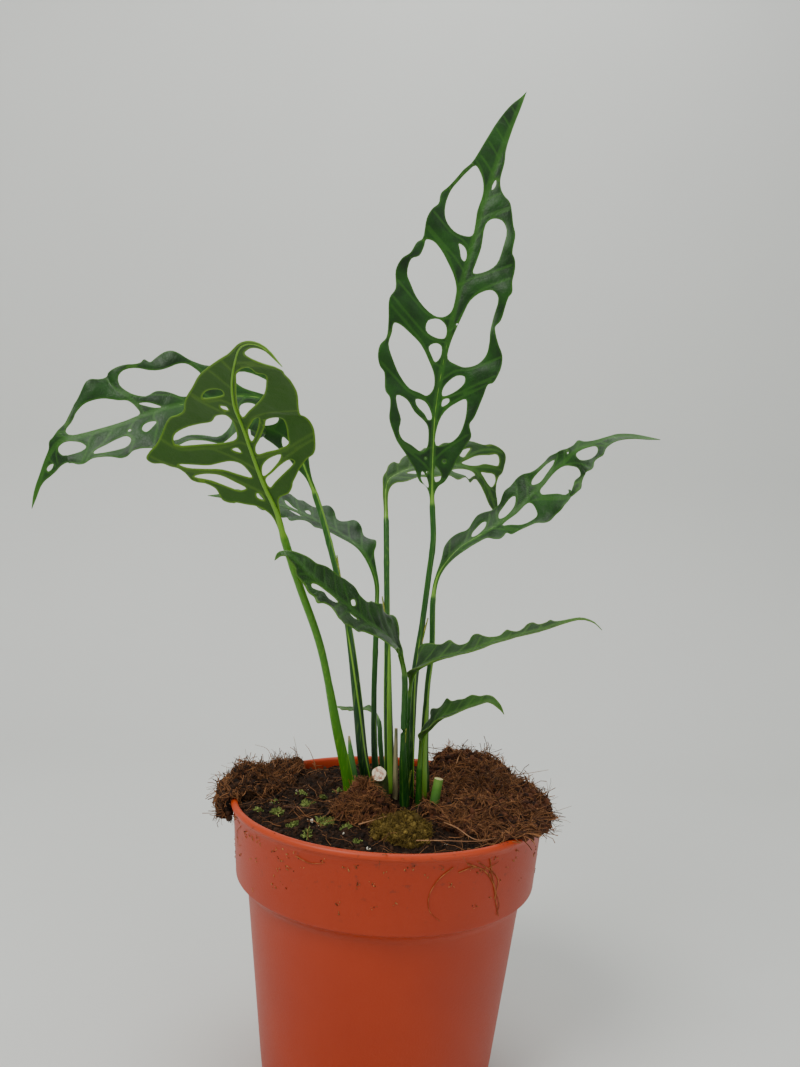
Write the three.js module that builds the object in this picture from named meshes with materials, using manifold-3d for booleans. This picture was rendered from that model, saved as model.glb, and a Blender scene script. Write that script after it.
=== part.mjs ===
// A young obliqua plant in a 12 cm nursery pot: ten long-stalked, holed leaves from one crown.
// Millimetres, +Z up. The origin is the middle of the pot's underside. X runs to the right and
// Y away from the front of the plant.
import * as THREE from 'three';
import { mergeVertices } from 'three/addons/utils/BufferGeometryUtils.js';
import Module from 'manifold-3d';

const wasm = await Module();
wasm.setup();

// Driving sizes of the pot
const rimRadius = 60;
const potHeight = 105;
const baseRadius = 43;
const wall = 1.5;
const bandFoot = 77.5;
const bandFootRadius = 56.8;
const drainRadius = 4;
const drainRing = 29;
const drainCount = 8;

// Soil and clearances
const soilTop = 103.2;
const soilRadius = 56.9;
const gap = 0.3;

// Leaves
const bladeThickness = 0.9;
const midribDepth = 0.8;
const petioleSides = 8;
const petioleStep = 9;

// Finishes
const potColour = 0xa5441f;
const soilColour = 0x32231a;
const coirColour = 0x5a3723;
const mossColour = 0x6b6430;
const leafColour = 0x2d5f23;
const youngLeafColour = 0x557d28;
const stemColour = 0x3c7a30;
const cutColour = 0xc9b79b;

// Each leaf: the petiole's centre line from inside the soil up to the blade, then the midrib.
// face turns the blade's upper side as [share of blade length, x, y, z], fold raises the
// two halves in degrees, wave is the margin's ruffle as [height, length, phase] and half the
// width at which it is full. groove is the side that the petiole's channel faces, radius the
// petiole's radius at its foot and at the blade, and sheath the share of it that is sheathed.
// plus and minus are the margins of the two halves and holes the windows in the flat blade, as
// [distance along the midrib, distance across it] from where the blade starts.
const leaves = [
  {
    name: 'leaf_tall',
    petiole: [
      [8, 2.5, 93], [8, 2.5, 107], [7.5, -0.5, 126], [7.5, -1, 150], [9.5, -1, 173], [11, 0, 191],
      [12, 0, 205], [11, 0, 218],
    ],
    rib: [
      [10.5, 0, 225.5], [10, -3, 238], [10, -6, 254.5], [12, -9, 273.5], [15, -11, 292],
      [19, -12, 310.5], [24, -11, 333.5], [29, -8, 352], [34.5, -4, 368.5], [39, 0, 381],
    ],
    face: [
      [0, 0, -1, 0.1], [1, 0, -1, 0.1],
    ],
    groove: [1, 0.2, 0],
    radius: [2.2, 1.15],
    sheath: 0.62,
    fold: [10, 10],
    wave: [1.4, 17, 1.2],
    half: 24,
    plus: [
      [0, 0.9], [5, 1], [8, 2.5], [10, 5], [15, 7.7], [20, 10], [25, 13], [28, 14.5], [33, 13.5],
      [36, 15], [45, 17.3], [50, 18.3], [51, 20], [55, 21.5], [58, 22], [62, 21.5], [66, 19], [70, 17],
      [72, 16.5], [75, 18], [84, 18.5], [86, 19.3], [90, 18.3], [95, 18], [98, 17], [100, 15.5],
      [107, 14.8], [111, 13], [115, 11.5], [119, 9.5], [121, 7], [123, 5.2], [127, 3.5], [135, 2.8],
      [140, 1.7], [150, 0.9], [160, 0.6],
    ],
    minus: [
      [0, -0.9], [5, -1.2], [8, -2.5], [10, -5], [15, -7], [18, -9], [21, -11], [25, -14], [28, -15.5],
      [33, -17.5], [37, -17.5], [40, -18], [42, -20], [48, -21.5], [50, -23.5], [53, -24.7],
      [57, -24.7], [60, -23], [66, -23.5], [73, -24.7], [77, -23.5], [83, -25.2], [87, -24],
      [90, -21.5], [95, -20.3], [97, -18.7], [104, -19], [108, -18], [111, -16.3], [115, -16.5],
      [118, -14.5], [122, -12.5], [126, -11], [130, -9], [140, -7], [150, -5.6], [160, -3.2],
      [165, -1.2],
    ],
    holes: [
      [[9.8, 1.2], [10.5, 3], [13, 3.4], [16, 1.2]],
      [[24, 1.1], [25, 6], [28, 9.5], [33, 11.3], [39, 11.8], [43, 11], [41, 7.5], [37, 3.5], [31, 1.2]],
      [[39, 2.3], [41, 4.8], [42.3, 4.5], [41.5, 2.3]],
      [[43, 2], [45, 6], [49, 9.3], [51.5, 9], [51.3, 6], [48, 2.8], [45, 1.6]],
      [
        [55, 8.5], [57, 13], [61, 15.5], [66, 15.6], [70, 15], [76, 15], [83, 14.9], [85.3, 12],
        [84, 8.5], [80, 5], [74, 3.5], [68, 2.2], [62, 1.2], [57, 1.5], [55.5, 5],
      ],
      [
        [90, 3.2], [91.5, 7.5], [95, 10.8], [101, 11.5], [108, 11.2], [111.5, 8.5], [111.5, 5],
        [109, 3], [100, 3.6], [94, 3.2],
      ],
      [[122.5, 1.6], [124.5, 2.4], [127, 1.8], [124.5, 1.2]],
      [[7.5, -1.5], [9, -3.3], [11.5, -4.5], [14, -4], [11, -2]],
      [
        [21.5, -4.5], [23, -2.5], [27, -2], [31, -2.5], [33, -4], [36, -8], [40, -11.5], [41, -15.5],
        [37, -14.6], [33, -13], [29, -13.5], [26, -12], [24, -8.5],
      ],
      [[34, -1.2], [37, -2], [40, -4.5], [40.5, -8], [38.5, -7.5], [35.5, -4], [33.5, -2.5]],
      [
        [42.3, -4], [45, -2], [50, -2.5], [55, -5.5], [60, -9.5], [63, -14], [65.5, -19], [65.5, -21.2],
        [62, -21.3], [58, -21.6], [53, -19], [48, -15.5], [44, -11], [43, -7],
      ],
      [[55, -3], [57, -1.5], [61, -1.8], [61.8, -4], [60, -6.5], [57, -4.8]],
      [[64.2, -1.4], [66.5, -1], [69, -2], [70.5, -5], [69, -8.8], [65.5, -8.8], [63.8, -5]],
      [
        [72, -3], [74.5, -1], [80, -0.9], [83, -1.4], [87, -3.5], [91, -7], [95, -11], [97.2, -14.5],
        [97, -17.2], [94, -17.3], [90, -18], [88, -20.5], [83, -20.7], [80, -18.5], [76, -15],
        [72.5, -10], [71.2, -6],
      ],
      [[93.5, -1.2], [96, -1], [98.5, -2.5], [99.2, -5], [97, -4], [94, -2.5]],
      [
        [102.5, -4], [103.5, -1], [108, -0.9], [113, -1.5], [120, -1.3], [125, -2.8], [128.5, -5.5],
        [129.5, -7.3], [126, -9.3], [121, -11.5], [117, -13.2], [111, -13.6], [106, -12], [103, -8],
      ],
    ],
  },
  {
    name: 'leaf_far_left',
    petiole: [
      [-8, 1.5, 93], [-8, 1.5, 106], [-11, 2.5, 120], [-14.5, 4, 142], [-20, 8, 171], [-29, 12, 201],
      [-36, 14, 220.5],
    ],
    rib: [
      [-47.5, 14, 246.5], [-50.5, 12, 253.5], [-56, 8, 257], [-66.5, 4, 257.5], [-86.5, -4, 252],
      [-98.5, -7, 247.5], [-107, -9, 243], [-116, -10, 239.5], [-123.5, -10, 237], [-130, -10, 235],
      [-135.5, -8, 228.5], [-139, -6, 219.5], [-142.5, -4, 209],
    ],
    face: [
      [0, -0.5, -0.8, 0.2], [0.2, -0.2, -0.85, 0.45], [0.6, 0, -0.8, 0.55], [1, -0.3, -0.8, 0.3],
    ],
    groove: [1, 0, 0],
    radius: [2.5, 1.3],
    sheath: 0.6,
    fold: [-5, 20],
    wave: [1.5, 18, 0.8],
    half: 22,
    plus: [
      [0, 0.9], [8, 1.5], [14, 3], [20, 5.5], [26, 6.5], [32, 5], [38, 6], [44, 9], [50, 12],
      [56, 13.5], [62, 14], [65, 15], [68, 16.5], [71, 18], [74, 20.5], [77, 22.5], [80, 23.3],
      [83, 22.5], [85, 21.2], [86.5, 22.5], [88, 21], [90, 20.5], [92, 21], [95, 21.7], [99, 22.3],
      [103, 21], [106, 20.3], [109, 20.3], [112, 19], [115, 16.5], [118, 13.5], [120, 11.8], [121.5, 9],
      [123, 6], [125, 4.4], [127, 3.4], [129, 3.3], [131, 1.8], [135, 1.1], [140, 1], [145, 1.2],
      [150, 1],
    ],
    minus: [
      [0, -0.9], [8, -1.5], [14, -4], [20, -6], [26, -9], [31, -13], [36, -16], [42, -15], [48, -16],
      [54, -15.5], [60, -17], [66, -19.5], [70, -20.8], [76, -19.3], [80, -17.5], [86, -17.5],
      [92, -17], [95, -16.5], [97, -15], [99, -13.5], [101, -13], [103, -14.2], [105, -14.3],
      [108, -12.8], [111, -12], [114, -11.5], [117, -12.3], [119, -12], [121, -10.8], [125, -10.5],
      [129, -9], [133, -7.2], [137, -5.7], [140, -4], [143, -1.9], [146, -0.9], [150, -0.6],
    ],
    holes: [
      [[16, 1.4], [20, 3.2], [26, 4.2], [30, 3.4], [26, 1.6]],
      [[39, 2], [43, 6], [49, 9.2], [55, 10.2], [57, 7], [54, 3.5], [46, 1.8]],
      [
        [68, 11.5], [70, 14.5], [72, 16], [75, 16.5], [80, 16.5], [86, 17.5], [89, 18.7], [93, 19.3],
        [95.3, 18], [96, 15], [95, 12], [93, 9], [90, 7], [86, 8], [83, 7], [80, 5], [78, 3.5], [75, 3],
        [71, 5], [68.5, 8],
      ],
      [[86, 1.1], [88, 1.4], [91, 3.2], [93, 5.2], [90.5, 4.6], [87.5, 2.6]],
      [
        [94.2, 1.2], [94.3, 4], [96, 8], [100, 10], [105, 12], [110, 12.3], [115, 11.8], [118.6, 9.2],
        [121, 6], [123, 3.2], [122, 1.4], [117, 1], [110, 0.9], [103, 0.9], [98, 0.9],
      ],
      [[14, -1.6], [19, -4], [24, -5.5], [27, -4], [23, -2], [18, -1.4]],
      [[33, -4], [32.5, -8], [35, -13], [39, -13.2], [43, -12.5], [46, -8], [43, -4], [37, -2.5]],
      [[49, -4], [50.5, -10], [54, -13], [57, -11], [56.5, -5], [53, -3]],
      [
        [60.5, -6], [61.5, -11], [64, -14.8], [70, -17.8], [75, -16.8], [80, -15], [85, -15],
        [88, -12.5], [86, -8], [82, -5], [75, -3.6], [66, -3.4],
      ],
      [[89.5, -4.8], [92, -6.8], [95, -7.8], [96, -6], [95, -4.3], [92, -3.8]],
      [
        [100.5, -8], [101.5, -5.8], [105, -5.8], [109, -7], [113, -8.3], [113.4, -9.4], [111, -10.2],
        [106, -10.5], [102, -10.2],
      ],
      [
        [116, -5.5], [118, -2.8], [121, -1.5], [125, -1.1], [128, -1.4], [128.7, -3], [127.5, -5.8],
        [124, -7.2], [120, -7], [117, -6.4],
      ],
      [[134.6, -3.6], [136, -2], [138.3, -1.2], [138.8, -2.2], [137, -3.6]],
    ],
  },
  {
    name: 'leaf_near_left',
    petiole: [
      [-14.5, -8, 93], [-14.5, -8, 106], [-21, -14, 135], [-27.5, -24, 165], [-35, -34, 187],
      [-40, -42, 203],
    ],
    rib: [
      [-42.5, -46, 212], [-46.5, -52, 221], [-49.5, -60, 230.5], [-51.5, -68, 238], [-52.5, -76, 242.5],
      [-51.5, -86, 248], [-49, -95, 252.5], [-46.5, -102, 254.5], [-42.5, -108, 254.5],
      [-38, -112, 252.5], [-33, -115, 247.5],
    ],
    face: [
      [0, 0.1, 0.85, 0.5], [0.7, 0.1, 0.6, 0.8], [1, 0.1, 0.6, 0.8],
    ],
    groove: [1, 0.3, 0],
    radius: [2.4, 1.4],
    sheath: 0.5,
    fold: [0, 0],
    wave: [1.2, 21, 0.5],
    half: 30,
    plus: [
      [0, 1], [5, 1.3], [9, 2.2], [12, 4], [14, 6], [15.5, 9], [17, 12], [17.5, 14.5], [19, 16.5],
      [22, 17], [24, 20], [24.5, 22.5], [25.5, 24.5], [28, 25.5], [30, 27], [31, 29], [32.5, 31],
      [33, 34.5], [35, 35.8], [37, 34], [39, 31], [42, 28], [45, 25.5], [48, 22.5], [49, 20], [51, 17],
      [55, 15], [60, 12], [65, 9.8], [70, 6.8], [75, 4], [78, 2.5], [82, 1.4], [88, 1], [96, 0.8],
    ],
    minus: [
      [0, -1], [5, -1], [9, -1], [12, -1.6], [15, -3], [16, -7], [18, -9], [20, -10], [23, -12],
      [26, -14], [30, -17.5], [32, -20], [35, -21.5], [42, -22.5], [46, -22], [50, -20.8], [60, -20],
      [70, -18.8], [74, -17.5], [77, -16], [79, -14], [82, -12.8], [83, -11], [81, -8.5], [80.5, -5],
      [81.5, -2.2], [86, -1.8], [92, -1.6], [98, -1.1],
    ],
    holes: [
      [
        [38.8, 24.5], [38.3, 15], [38.4, 8], [39.8, 3.5], [44, 2.5], [48, 2.8], [50, 4], [49.5, 7],
        [46.7, 9.5], [45.5, 14], [43.6, 20], [41.3, 24],
      ],
      [[34.3, 3.5], [35.7, 6.2], [36.3, 4.2]],
      [
        [24.5, 3], [27.5, 3.6], [30, 5], [31.3, 8], [30.9, 12], [30.3, 16], [31, 21], [31.6, 26],
        [30, 24], [29, 18], [28.3, 12], [26, 7],
      ],
      [[21, 6.5], [23.6, 9.5], [26.3, 13.5], [27.2, 19], [26.4, 23], [24.8, 17.5], [22.5, 13], [20.6, 9]],
      [[15.5, 2.5], [17, 4.2], [18.5, 3.8], [18, 2.5]],
      [[56.5, 9.3], [58.7, 8.5], [60.5, 6.5], [61.3, 3.4], [59.5, 2.7], [58, 4.5]],
      [[52.3, 2.4], [53, 4.3], [54.4, 4.2], [54, 2.6]],
      [
        [24.5, -1], [27, -1.3], [29.3, -2.6], [31.3, -5], [32.7, -9.3], [30.5, -8.3], [28, -6],
        [26, -3.7],
      ],
      [
        [33.3, -1.6], [36, -1.8], [40, -4.6], [45, -7.3], [48, -8.6], [49.3, -12], [48.5, -13.5],
        [45, -14], [40, -13.5], [37, -13], [35, -9.5], [34, -5],
      ],
      [
        [38.5, -1.2], [42, -1.1], [44, -1.8], [46.5, -3.5], [48.3, -4.8], [49, -6.3], [45.5, -5.3],
        [41.5, -3.4],
      ],
      [
        [49, -1.2], [58, -1.2], [66, -1.3], [71.5, -1.2], [74.6, -2.9], [75.5, -4.2], [74, -6.5],
        [74.8, -8.8], [70.5, -9.7], [64.4, -9.5], [58.9, -7.6], [52.7, -4],
      ],
      [
        [19.7, -1.6], [22, -1.1], [23.5, -1.6], [25.6, -4.6], [28.4, -8.2], [30.3, -11.8],
        [29.5, -12.8], [28, -12], [25, -8.5], [21.5, -4],
      ],
    ],
  },
  {
    name: 'leaf_back_left',
    petiole: [
      [-4.5, 7, 93], [-4.5, 7, 104], [-6.5, 9.5, 120], [-8, 14, 140.5], [-8.5, 18, 158.5],
      [-9, 22, 175],
    ],
    rib: [
      [-9.5, 24, 184.5], [-12.5, 27, 192.5], [-17.5, 31, 199.5], [-26, 35, 205], [-36.5, 38, 210],
      [-49, 40, 215], [-62, 42, 218], [-74, 42, 219], [-85.5, 40, 219],
    ],
    face: [
      [0, 0.2, -0.45, 0.9], [1, 0.2, -0.45, 0.9],
    ],
    groove: [1, 0.2, 0],
    radius: [1.7, 1.15],
    sheath: 0.5,
    fold: [10, 10],
    wave: [1.3, 13, 1],
    half: 13,
    plus: [
      [0, 0.9], [8, 1], [16, 1.8], [20, 2.8], [23, 3.8], [25, 5], [27, 7.5], [29, 9.3], [30.5, 8.3],
      [33, 8], [35, 9.5], [37, 11.3], [41, 11.5], [43, 9.2], [45, 8], [47, 8.7], [50, 11.8], [53, 12],
      [55, 10.5], [57, 8.5], [60, 9], [63, 9], [65, 7.7], [68, 9], [71, 11.5], [74, 10], [77, 9],
      [80, 11], [82, 9], [85, 7], [88, 5.7], [90, 6], [93, 4.5], [96, 2], [99, 1],
    ],
    minus: [
      [0, -0.9], [8, -1], [16, -1], [24, -1.2], [30, -1.6], [34, -2.2], [38, -3.2], [44, -4.8],
      [48, -5.5], [50, -6.8], [53, -6], [55, -6.5], [57, -9], [59, -12.3], [61, -11.5], [62.5, -10.2],
      [64, -13.2], [67, -13.8], [70, -12.5], [75, -10.7], [79, -9.5], [82, -8.3], [85, -8], [87, -5.7],
      [88.5, -5.3], [89.3, -8], [91, -8.8], [93, -7.3], [94.5, -3.5], [97, -2], [99.5, -1],
    ],
    holes: [
      [[58.5, -3.3], [60.5, -1.6], [62.5, -1.2], [66, -1.2], [64, -2.6], [60.5, -3.8]],
      [[61, 1.1], [65, 2.2], [69, 4.8], [70, 4.9], [68, 2.2], [64.5, 1.1]],
      [[56.4, 2.2], [58.3, 4.5], [59.5, 3], [58, 1.9]],
      [[78.3, 1.3], [80, 3], [82, 5.4], [82, 3], [80.5, 1.4]],
    ],
  },
  {
    name: 'leaf_front',
    petiole: [
      [6, -8.5, 93], [6, -8.5, 106], [4.5, -13, 125], [4, -16, 143.5], [3.5, -19, 154.5],
    ],
    rib: [
      [1.5, -23, 163], [-2, -28, 168.5], [-7, -33, 173], [-12.5, -37, 177], [-18.5, -41, 182],
      [-24, -45, 186.5], [-29.5, -48, 191], [-34, -50, 195.5], [-37.5, -51, 198], [-40, -52, 198],
      [-41.5, -52, 196],
    ],
    face: [
      [0, -0.3, -0.6, 0.7], [1, -0.3, -0.6, 0.7],
    ],
    groove: [0.6, 1, 0],
    radius: [2.2, 1.15],
    sheath: 0.55,
    fold: [15, 15],
    wave: [1, 12, 1],
    half: 13,
    plus: [
      [0, 0.9], [7, 1], [11, 1.6], [12.4, 4], [12.8, 8], [13.2, 12], [14, 15.5], [15.5, 15], [18, 13],
      [22, 13.7], [25, 12], [28, 10.5], [31, 10], [33, 8], [36, 6.7], [39, 6.8], [42, 8.8], [45, 9.3],
      [47, 8.5], [50, 7.5], [55, 7.3], [58, 6], [61, 4.5], [64, 4], [67, 3], [70, 1.8], [73, 1],
    ],
    minus: [
      [0, -0.9], [7, -1], [13, -1.2], [16, -3.5], [19, -6], [21, -8], [23, -10.5], [25, -12.5],
      [27, -9.5], [29, -7.8], [32, -7.3], [35, -8], [37, -10], [39, -10.5], [42, -11], [45, -13],
      [47, -14], [49, -14.3], [50, -11], [51, -8.8], [53, -8.8], [54.7, -10], [56, -7.8], [58, -7.3],
      [60, -5.2], [61.5, -4.7], [64, -4.5], [66, -2.6], [70, -1.8], [73, -1.6],
    ],
    holes: [
      [
        [47, -2.4], [48.5, -1.2], [52, -1], [56, -1.2], [58, -2.8], [57.5, -4.3], [55.5, -3.8],
        [53, -2.7], [51.5, -4.3], [49.5, -4.8], [47.8, -3.8],
      ],
      [[38.8, 2.6], [40, 4], [41.2, 2.8], [40, 1.5]],
      [[36.5, -2.6], [38.8, -2.4], [41, -3], [38.8, -3.8]],
    ],
  },
  {
    name: 'leaf_back',
    petiole: [
      [0.5, 4.5, 93], [0.5, 4.5, 104], [-2, 9, 137], [-3.5, 14, 159], [-5.5, 19, 189], [-7, 24, 212],
    ],
    rib: [
      [-8, 28, 225], [-7, 31, 229.5], [-3.5, 36, 232.5], [3, 43, 236], [14.5, 51, 239],
      [23.5, 57, 239.5], [29.5, 60, 238.5], [33.5, 61.5, 236.5], [36.5, 62.5, 233], [39, 63, 228.5],
      [41.5, 63, 222], [42.5, 62, 218.5],
    ],
    face: [
      [0, 0.3, -0.8, 0.4], [0.5, 0, -0.6, 0.8], [1, 0.6, -0.6, 0.2],
    ],
    groove: [-1, -0.3, 0],
    radius: [2.2, 1.2],
    sheath: 0.6,
    fold: [10, 10],
    wave: [1.1, 14, 1],
    half: 16,
    plus: [
      [0, 0.9], [10, 1.1], [15, 1.8], [19, 3.5], [23, 5.5], [28, 7], [33, 8], [38, 10.5], [42, 13.5],
      [46, 15.5], [50, 16], [55, 14.3], [60, 13], [64, 12.2], [67, 10], [70, 7.3], [73, 5.5], [77, 4.5],
      [82, 4.3], [87, 4], [91, 2.5],
    ],
    minus: [
      [0, -0.9], [10, -1.1], [15, -1.5], [19, -2.8], [22, -3.5], [26, -5.6], [30, -6], [31.5, -4.5],
      [34, -6], [38, -8], [42, -8.5], [46, -9.3], [50, -11.5], [54, -10.5], [58, -12.3], [61, -12.6],
      [65, -15], [68, -16.5], [71, -16], [72.5, -18.5], [75, -20], [77, -17.5], [79, -13], [79.5, -9.5],
      [81, -6.5], [84, -4], [88, -3], [91, -2],
    ],
    holes: [
      [
        [64, -1.6], [67, -4.5], [70, -8.3], [73, -12.3], [74.3, -15.6], [75.8, -14], [76.3, -12],
        [75, -9.5], [73, -6.5], [71.3, -3.6], [68, -1.6],
      ],
      [
        [73.8, -1.6], [75.5, -4], [78, -7.5], [79.5, -7], [81, -4.8], [81.5, -2.4], [79.5, -1.3],
        [76, -1.2],
      ],
      [
        [53, 7.5], [57, 4.8], [61, 3.2], [66, 2], [70, 2], [71, 3.2], [68, 6.5], [64.5, 9.5],
        [59, 11.5], [55, 10.5],
      ],
      [[63.7, -5.8], [65, -9], [68, -12], [67.3, -9.3], [65.2, -5.3]],
      [[38, -2.6], [42, -3], [45, -5], [41, -6]],
      [[30, 2], [36, 2.6], [40, 5.5], [37, 7.3], [33, 5]],
    ],
  },
  {
    name: 'leaf_right',
    petiole: [
      [14, 1, 93], [14, 1, 104], [13, 3, 125.5], [13, 5, 147], [14, 6, 161.5], [13.5, 7, 181.5],
    ],
    rib: [
      [14.5, 8, 189.5], [17, 8, 195], [23, 8, 202.5], [31, 8, 208], [37.5, 8, 212.5], [43.5, 7, 217.5],
      [49, 6, 223.5], [53.5, 5, 229], [58, 4, 235], [62, 2, 238.5], [65.5, 0, 242.5], [71.5, -2, 245.5],
      [78, -4, 248], [84.5, -6, 248.5], [91, -8, 248], [95, -10, 247.5],
    ],
    face: [
      [0, 0, -0.7, 0.7], [1, 0, -0.7, 0.7],
    ],
    groove: [-1, -0.2, 0],
    radius: [2.1, 1.15],
    sheath: 0.55,
    fold: [10, 10],
    wave: [1.1, 16, 1],
    half: 18,
    plus: [
      [0, 0.9], [10, 1], [15, 1.2], [20, 1.9], [25, 2.8], [30, 2.8], [35, 3.2], [37, 5.8], [39, 7.3],
      [41, 7], [42.5, 6.5], [44, 8.8], [47, 9.7], [50, 10.7], [53, 11.9], [55, 14.2], [57, 15.2],
      [60, 15.3], [63, 16], [66, 15.3], [68.5, 14.6], [71, 15], [73, 17.5], [75, 20], [76.3, 20.7],
      [78, 18.8], [79, 15.2], [80.3, 13.5], [82, 13.8], [84, 15.5], [86, 15.8], [88, 15], [89.5, 11.4],
      [91, 10.3], [93, 9.9], [94, 8.3], [95, 6.5], [98, 4.5], [102, 2.5], [107, 1.4], [112, 1],
    ],
    minus: [
      [0, -0.9], [10, -1], [14, -1.8], [17, -3], [20, -4.8], [24, -5.8], [27, -5.8], [30, -5.2],
      [34, -7], [37, -8.2], [40, -8], [43, -7], [47, -7.2], [50, -8.5], [53, -9.5], [56, -9.3],
      [60, -9.8], [63, -9], [66, -6.8], [69, -5.6], [72, -5.5], [74, -6.5], [77, -6], [80, -4.8],
      [82, -3.4], [84, -3.1], [86, -4.2], [88, -2.6], [92, -1.3], [97, -1], [100, -1.5], [105, -1.5],
      [110, -1],
    ],
    holes: [
      [
        [43, 1.8], [46, 4.5], [49, 8], [52, 9.3], [55, 9.3], [56.5, 6.5], [57, 3], [56, 1.3], [50, 1.3],
        [45, 1.1],
      ],
      [
        [62.3, 3.5], [64, 6], [66, 9], [67.3, 12.2], [70, 12.8], [73, 13.8], [74.6, 16.5], [76, 18.2],
        [77.2, 15.5], [78, 12.8], [79.6, 11.8], [80.3, 8], [79, 4.5], [77, 1.9], [72, 1.1], [66, 1.1],
        [63, 1.4],
      ],
      [[83.2, 1.5], [83.3, 5], [85, 8], [88, 9.2], [90.5, 8], [91.8, 5], [91.2, 2], [88.5, 1.1], [85, 1]],
      [
        [30.3, -1.4], [31.3, -2.7], [34, -3.7], [37.3, -4.4], [38.4, -3.8], [37, -2.1], [34, -1.1],
        [31.6, -0.9],
      ],
      [
        [43.5, -2], [44.5, -3.8], [48, -5], [53, -5.6], [54.5, -4.8], [52, -2.3], [48.5, -1.3],
        [45, -1.1],
      ],
      [[62.5, -3], [64, -4.2], [70, -4], [74.5, -3.8], [73, -2], [69, -1.2], [65, -1.2]],
    ],
  },
  {
    name: 'leaf_right_mid',
    petiole: [
      [6.5, -3, 93], [6.5, -3, 106], [6, -7, 125], [5.5, -10, 145],
    ],
    rib: [
      [6.5, -13, 154], [8, -15, 157], [14, -18, 161], [21.5, -20, 164], [27.5, -22, 166],
      [33.5, -23, 169], [39.5, -24, 171], [43, -25, 172.5], [51, -26, 175], [58.5, -27, 178],
      [65, -28, 180], [69.5, -28, 179], [72.5, -28, 176.5],
    ],
    face: [
      [0, -0.1, -0.3, 0.95], [1, -0.1, -0.3, 0.95],
    ],
    groove: [0.2, 1, 0],
    radius: [1.5, 1.05],
    sheath: 0.5,
    fold: [20, 20],
    wave: [0.7, 12, 1],
    half: 10,
    plus: [
      [0, 0.8], [6, 1], [10, 2.5], [13, 5], [16, 7], [20, 8], [24, 7], [28, 7.5], [32, 5.6], [36, 6.5],
      [40, 6], [44, 4.3], [48, 5], [52, 3.6], [56, 3.2], [60, 4], [64, 2.8], [68, 2.2], [72, 1.4],
      [78, 0.8],
    ],
    minus: [
      [0, -0.8], [6, -1], [10, -2.5], [12, -7.5], [14, -11], [17, -11.5], [20, -10.8], [23, -8.2],
      [25, -7], [28, -7.8], [29.5, -6], [31, -4.7], [34, -5.2], [36, -6.8], [40, -6.8], [42, -4.7],
      [43.5, -3.4], [47, -2.8], [50, -4.7], [51.5, -3.5], [54, -2.3], [56, -3.1], [58, -4.9], [60, -5],
      [62, -3.2], [65, -3.1], [66.5, -3.6], [68, -2.2], [72, -1.3], [78, -0.8],
    ],
    holes: [],
  },
  {
    name: 'leaf_right_low',
    petiole: [
      [11.5, -6.5, 93], [11.5, -6.5, 104], [11, -9, 118],
    ],
    rib: [
      [11.5, -11, 131], [14, -14, 135], [17.5, -17, 139.5], [23, -20, 143], [27.5, -22, 145.5],
      [31.5, -24, 147.5], [34, -25, 148.5], [36, -26, 148], [38, -27, 146.5], [39.5, -27, 144.5],
    ],
    face: [
      [0, -0.3, -0.3, 0.9], [1, -0.1, -0.3, 0.95],
    ],
    groove: [0.3, 1, 0],
    radius: [1.9, 1.1],
    sheath: 0.6,
    fold: [20, 20],
    wave: [0.6, 9, 1],
    half: 8,
    plus: [
      [0, 0.9], [11, 1.2], [14, 3], [17, 5], [20, 6.3], [23, 6.5], [26, 5.8], [29, 6.3], [32, 5],
      [36, 4.6], [40, 3.4], [44, 2.5], [48, 1.5], [51, 0.9],
    ],
    minus: [
      [0, -0.9], [11, -1.2], [13, -3], [15, -6.5], [17.5, -8.3], [21, -8.5], [24, -7], [26, -7.5],
      [28, -8.3], [30.5, -6], [33, -6.3], [36, -5], [39, -5.3], [42, -4], [45, -3.2], [48, -1.8],
      [51, -0.9],
    ],
    holes: [],
  },
  {
    name: 'leaf_back_small',
    petiole: [
      [-2, 12, 93], [-2, 12, 103], [-4.5, 17, 121.5], [-5.5, 20, 129],
    ],
    rib: [
      [-8, 24, 132], [-11.5, 28, 132.5], [-15.5, 32, 131], [-20, 37, 130], [-24.5, 42, 130],
    ],
    face: [
      [0, 0, -0.1, 0.99], [1, 0, -0.1, 0.99],
    ],
    groove: [0.3, -1, 0],
    radius: [1.3, 1],
    sheath: 0.5,
    fold: [10, 10],
    wave: [0.4, 6, 1],
    half: 4,
    plus: [
      [0, 0.8], [5, 1], [8.5, 2.2], [11.5, 3.4], [14.5, 4], [17.5, 3.6], [20.5, 4], [23.5, 3],
      [26.5, 2], [29, 1],
    ],
    minus: [
      [0, -0.8], [5, -1], [8.5, -2.2], [11.5, -3.6], [14.5, -3.8], [17.5, -4.1], [20.5, -3.4],
      [23.5, -3.2], [26.5, -1.8], [29, -1],
    ],
    holes: [],
  },
];

// Closed mesh to solid and back
function toSolid(geometry) {
  const plain = geometry.clone();
  plain.deleteAttribute('normal');
  plain.deleteAttribute('uv');
  const merged = mergeVertices(plain, 1e-4);
  const vertProperties = new Float32Array(merged.getAttribute('position').array);
  const triVerts = new Uint32Array(merged.getIndex().array);
  return new wasm.Manifold(new wasm.Mesh({ numProp: 3, vertProperties, triVerts }));
}

function toGeometry(solid) {
  const mesh = solid.getMesh();
  const geometry = new THREE.BufferGeometry();
  geometry.setAttribute('position', new THREE.BufferAttribute(mesh.vertProperties, 3));
  geometry.setIndex(new THREE.BufferAttribute(mesh.triVerts, 1));
  geometry.computeVertexNormals();
  return geometry;
}

function indexed(positions, triangles) {
  const geometry = new THREE.BufferGeometry();
  geometry.setAttribute('position', new THREE.Float32BufferAttribute(positions.flat(), 3));
  geometry.setIndex(triangles.flat());
  return geometry;
}

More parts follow.
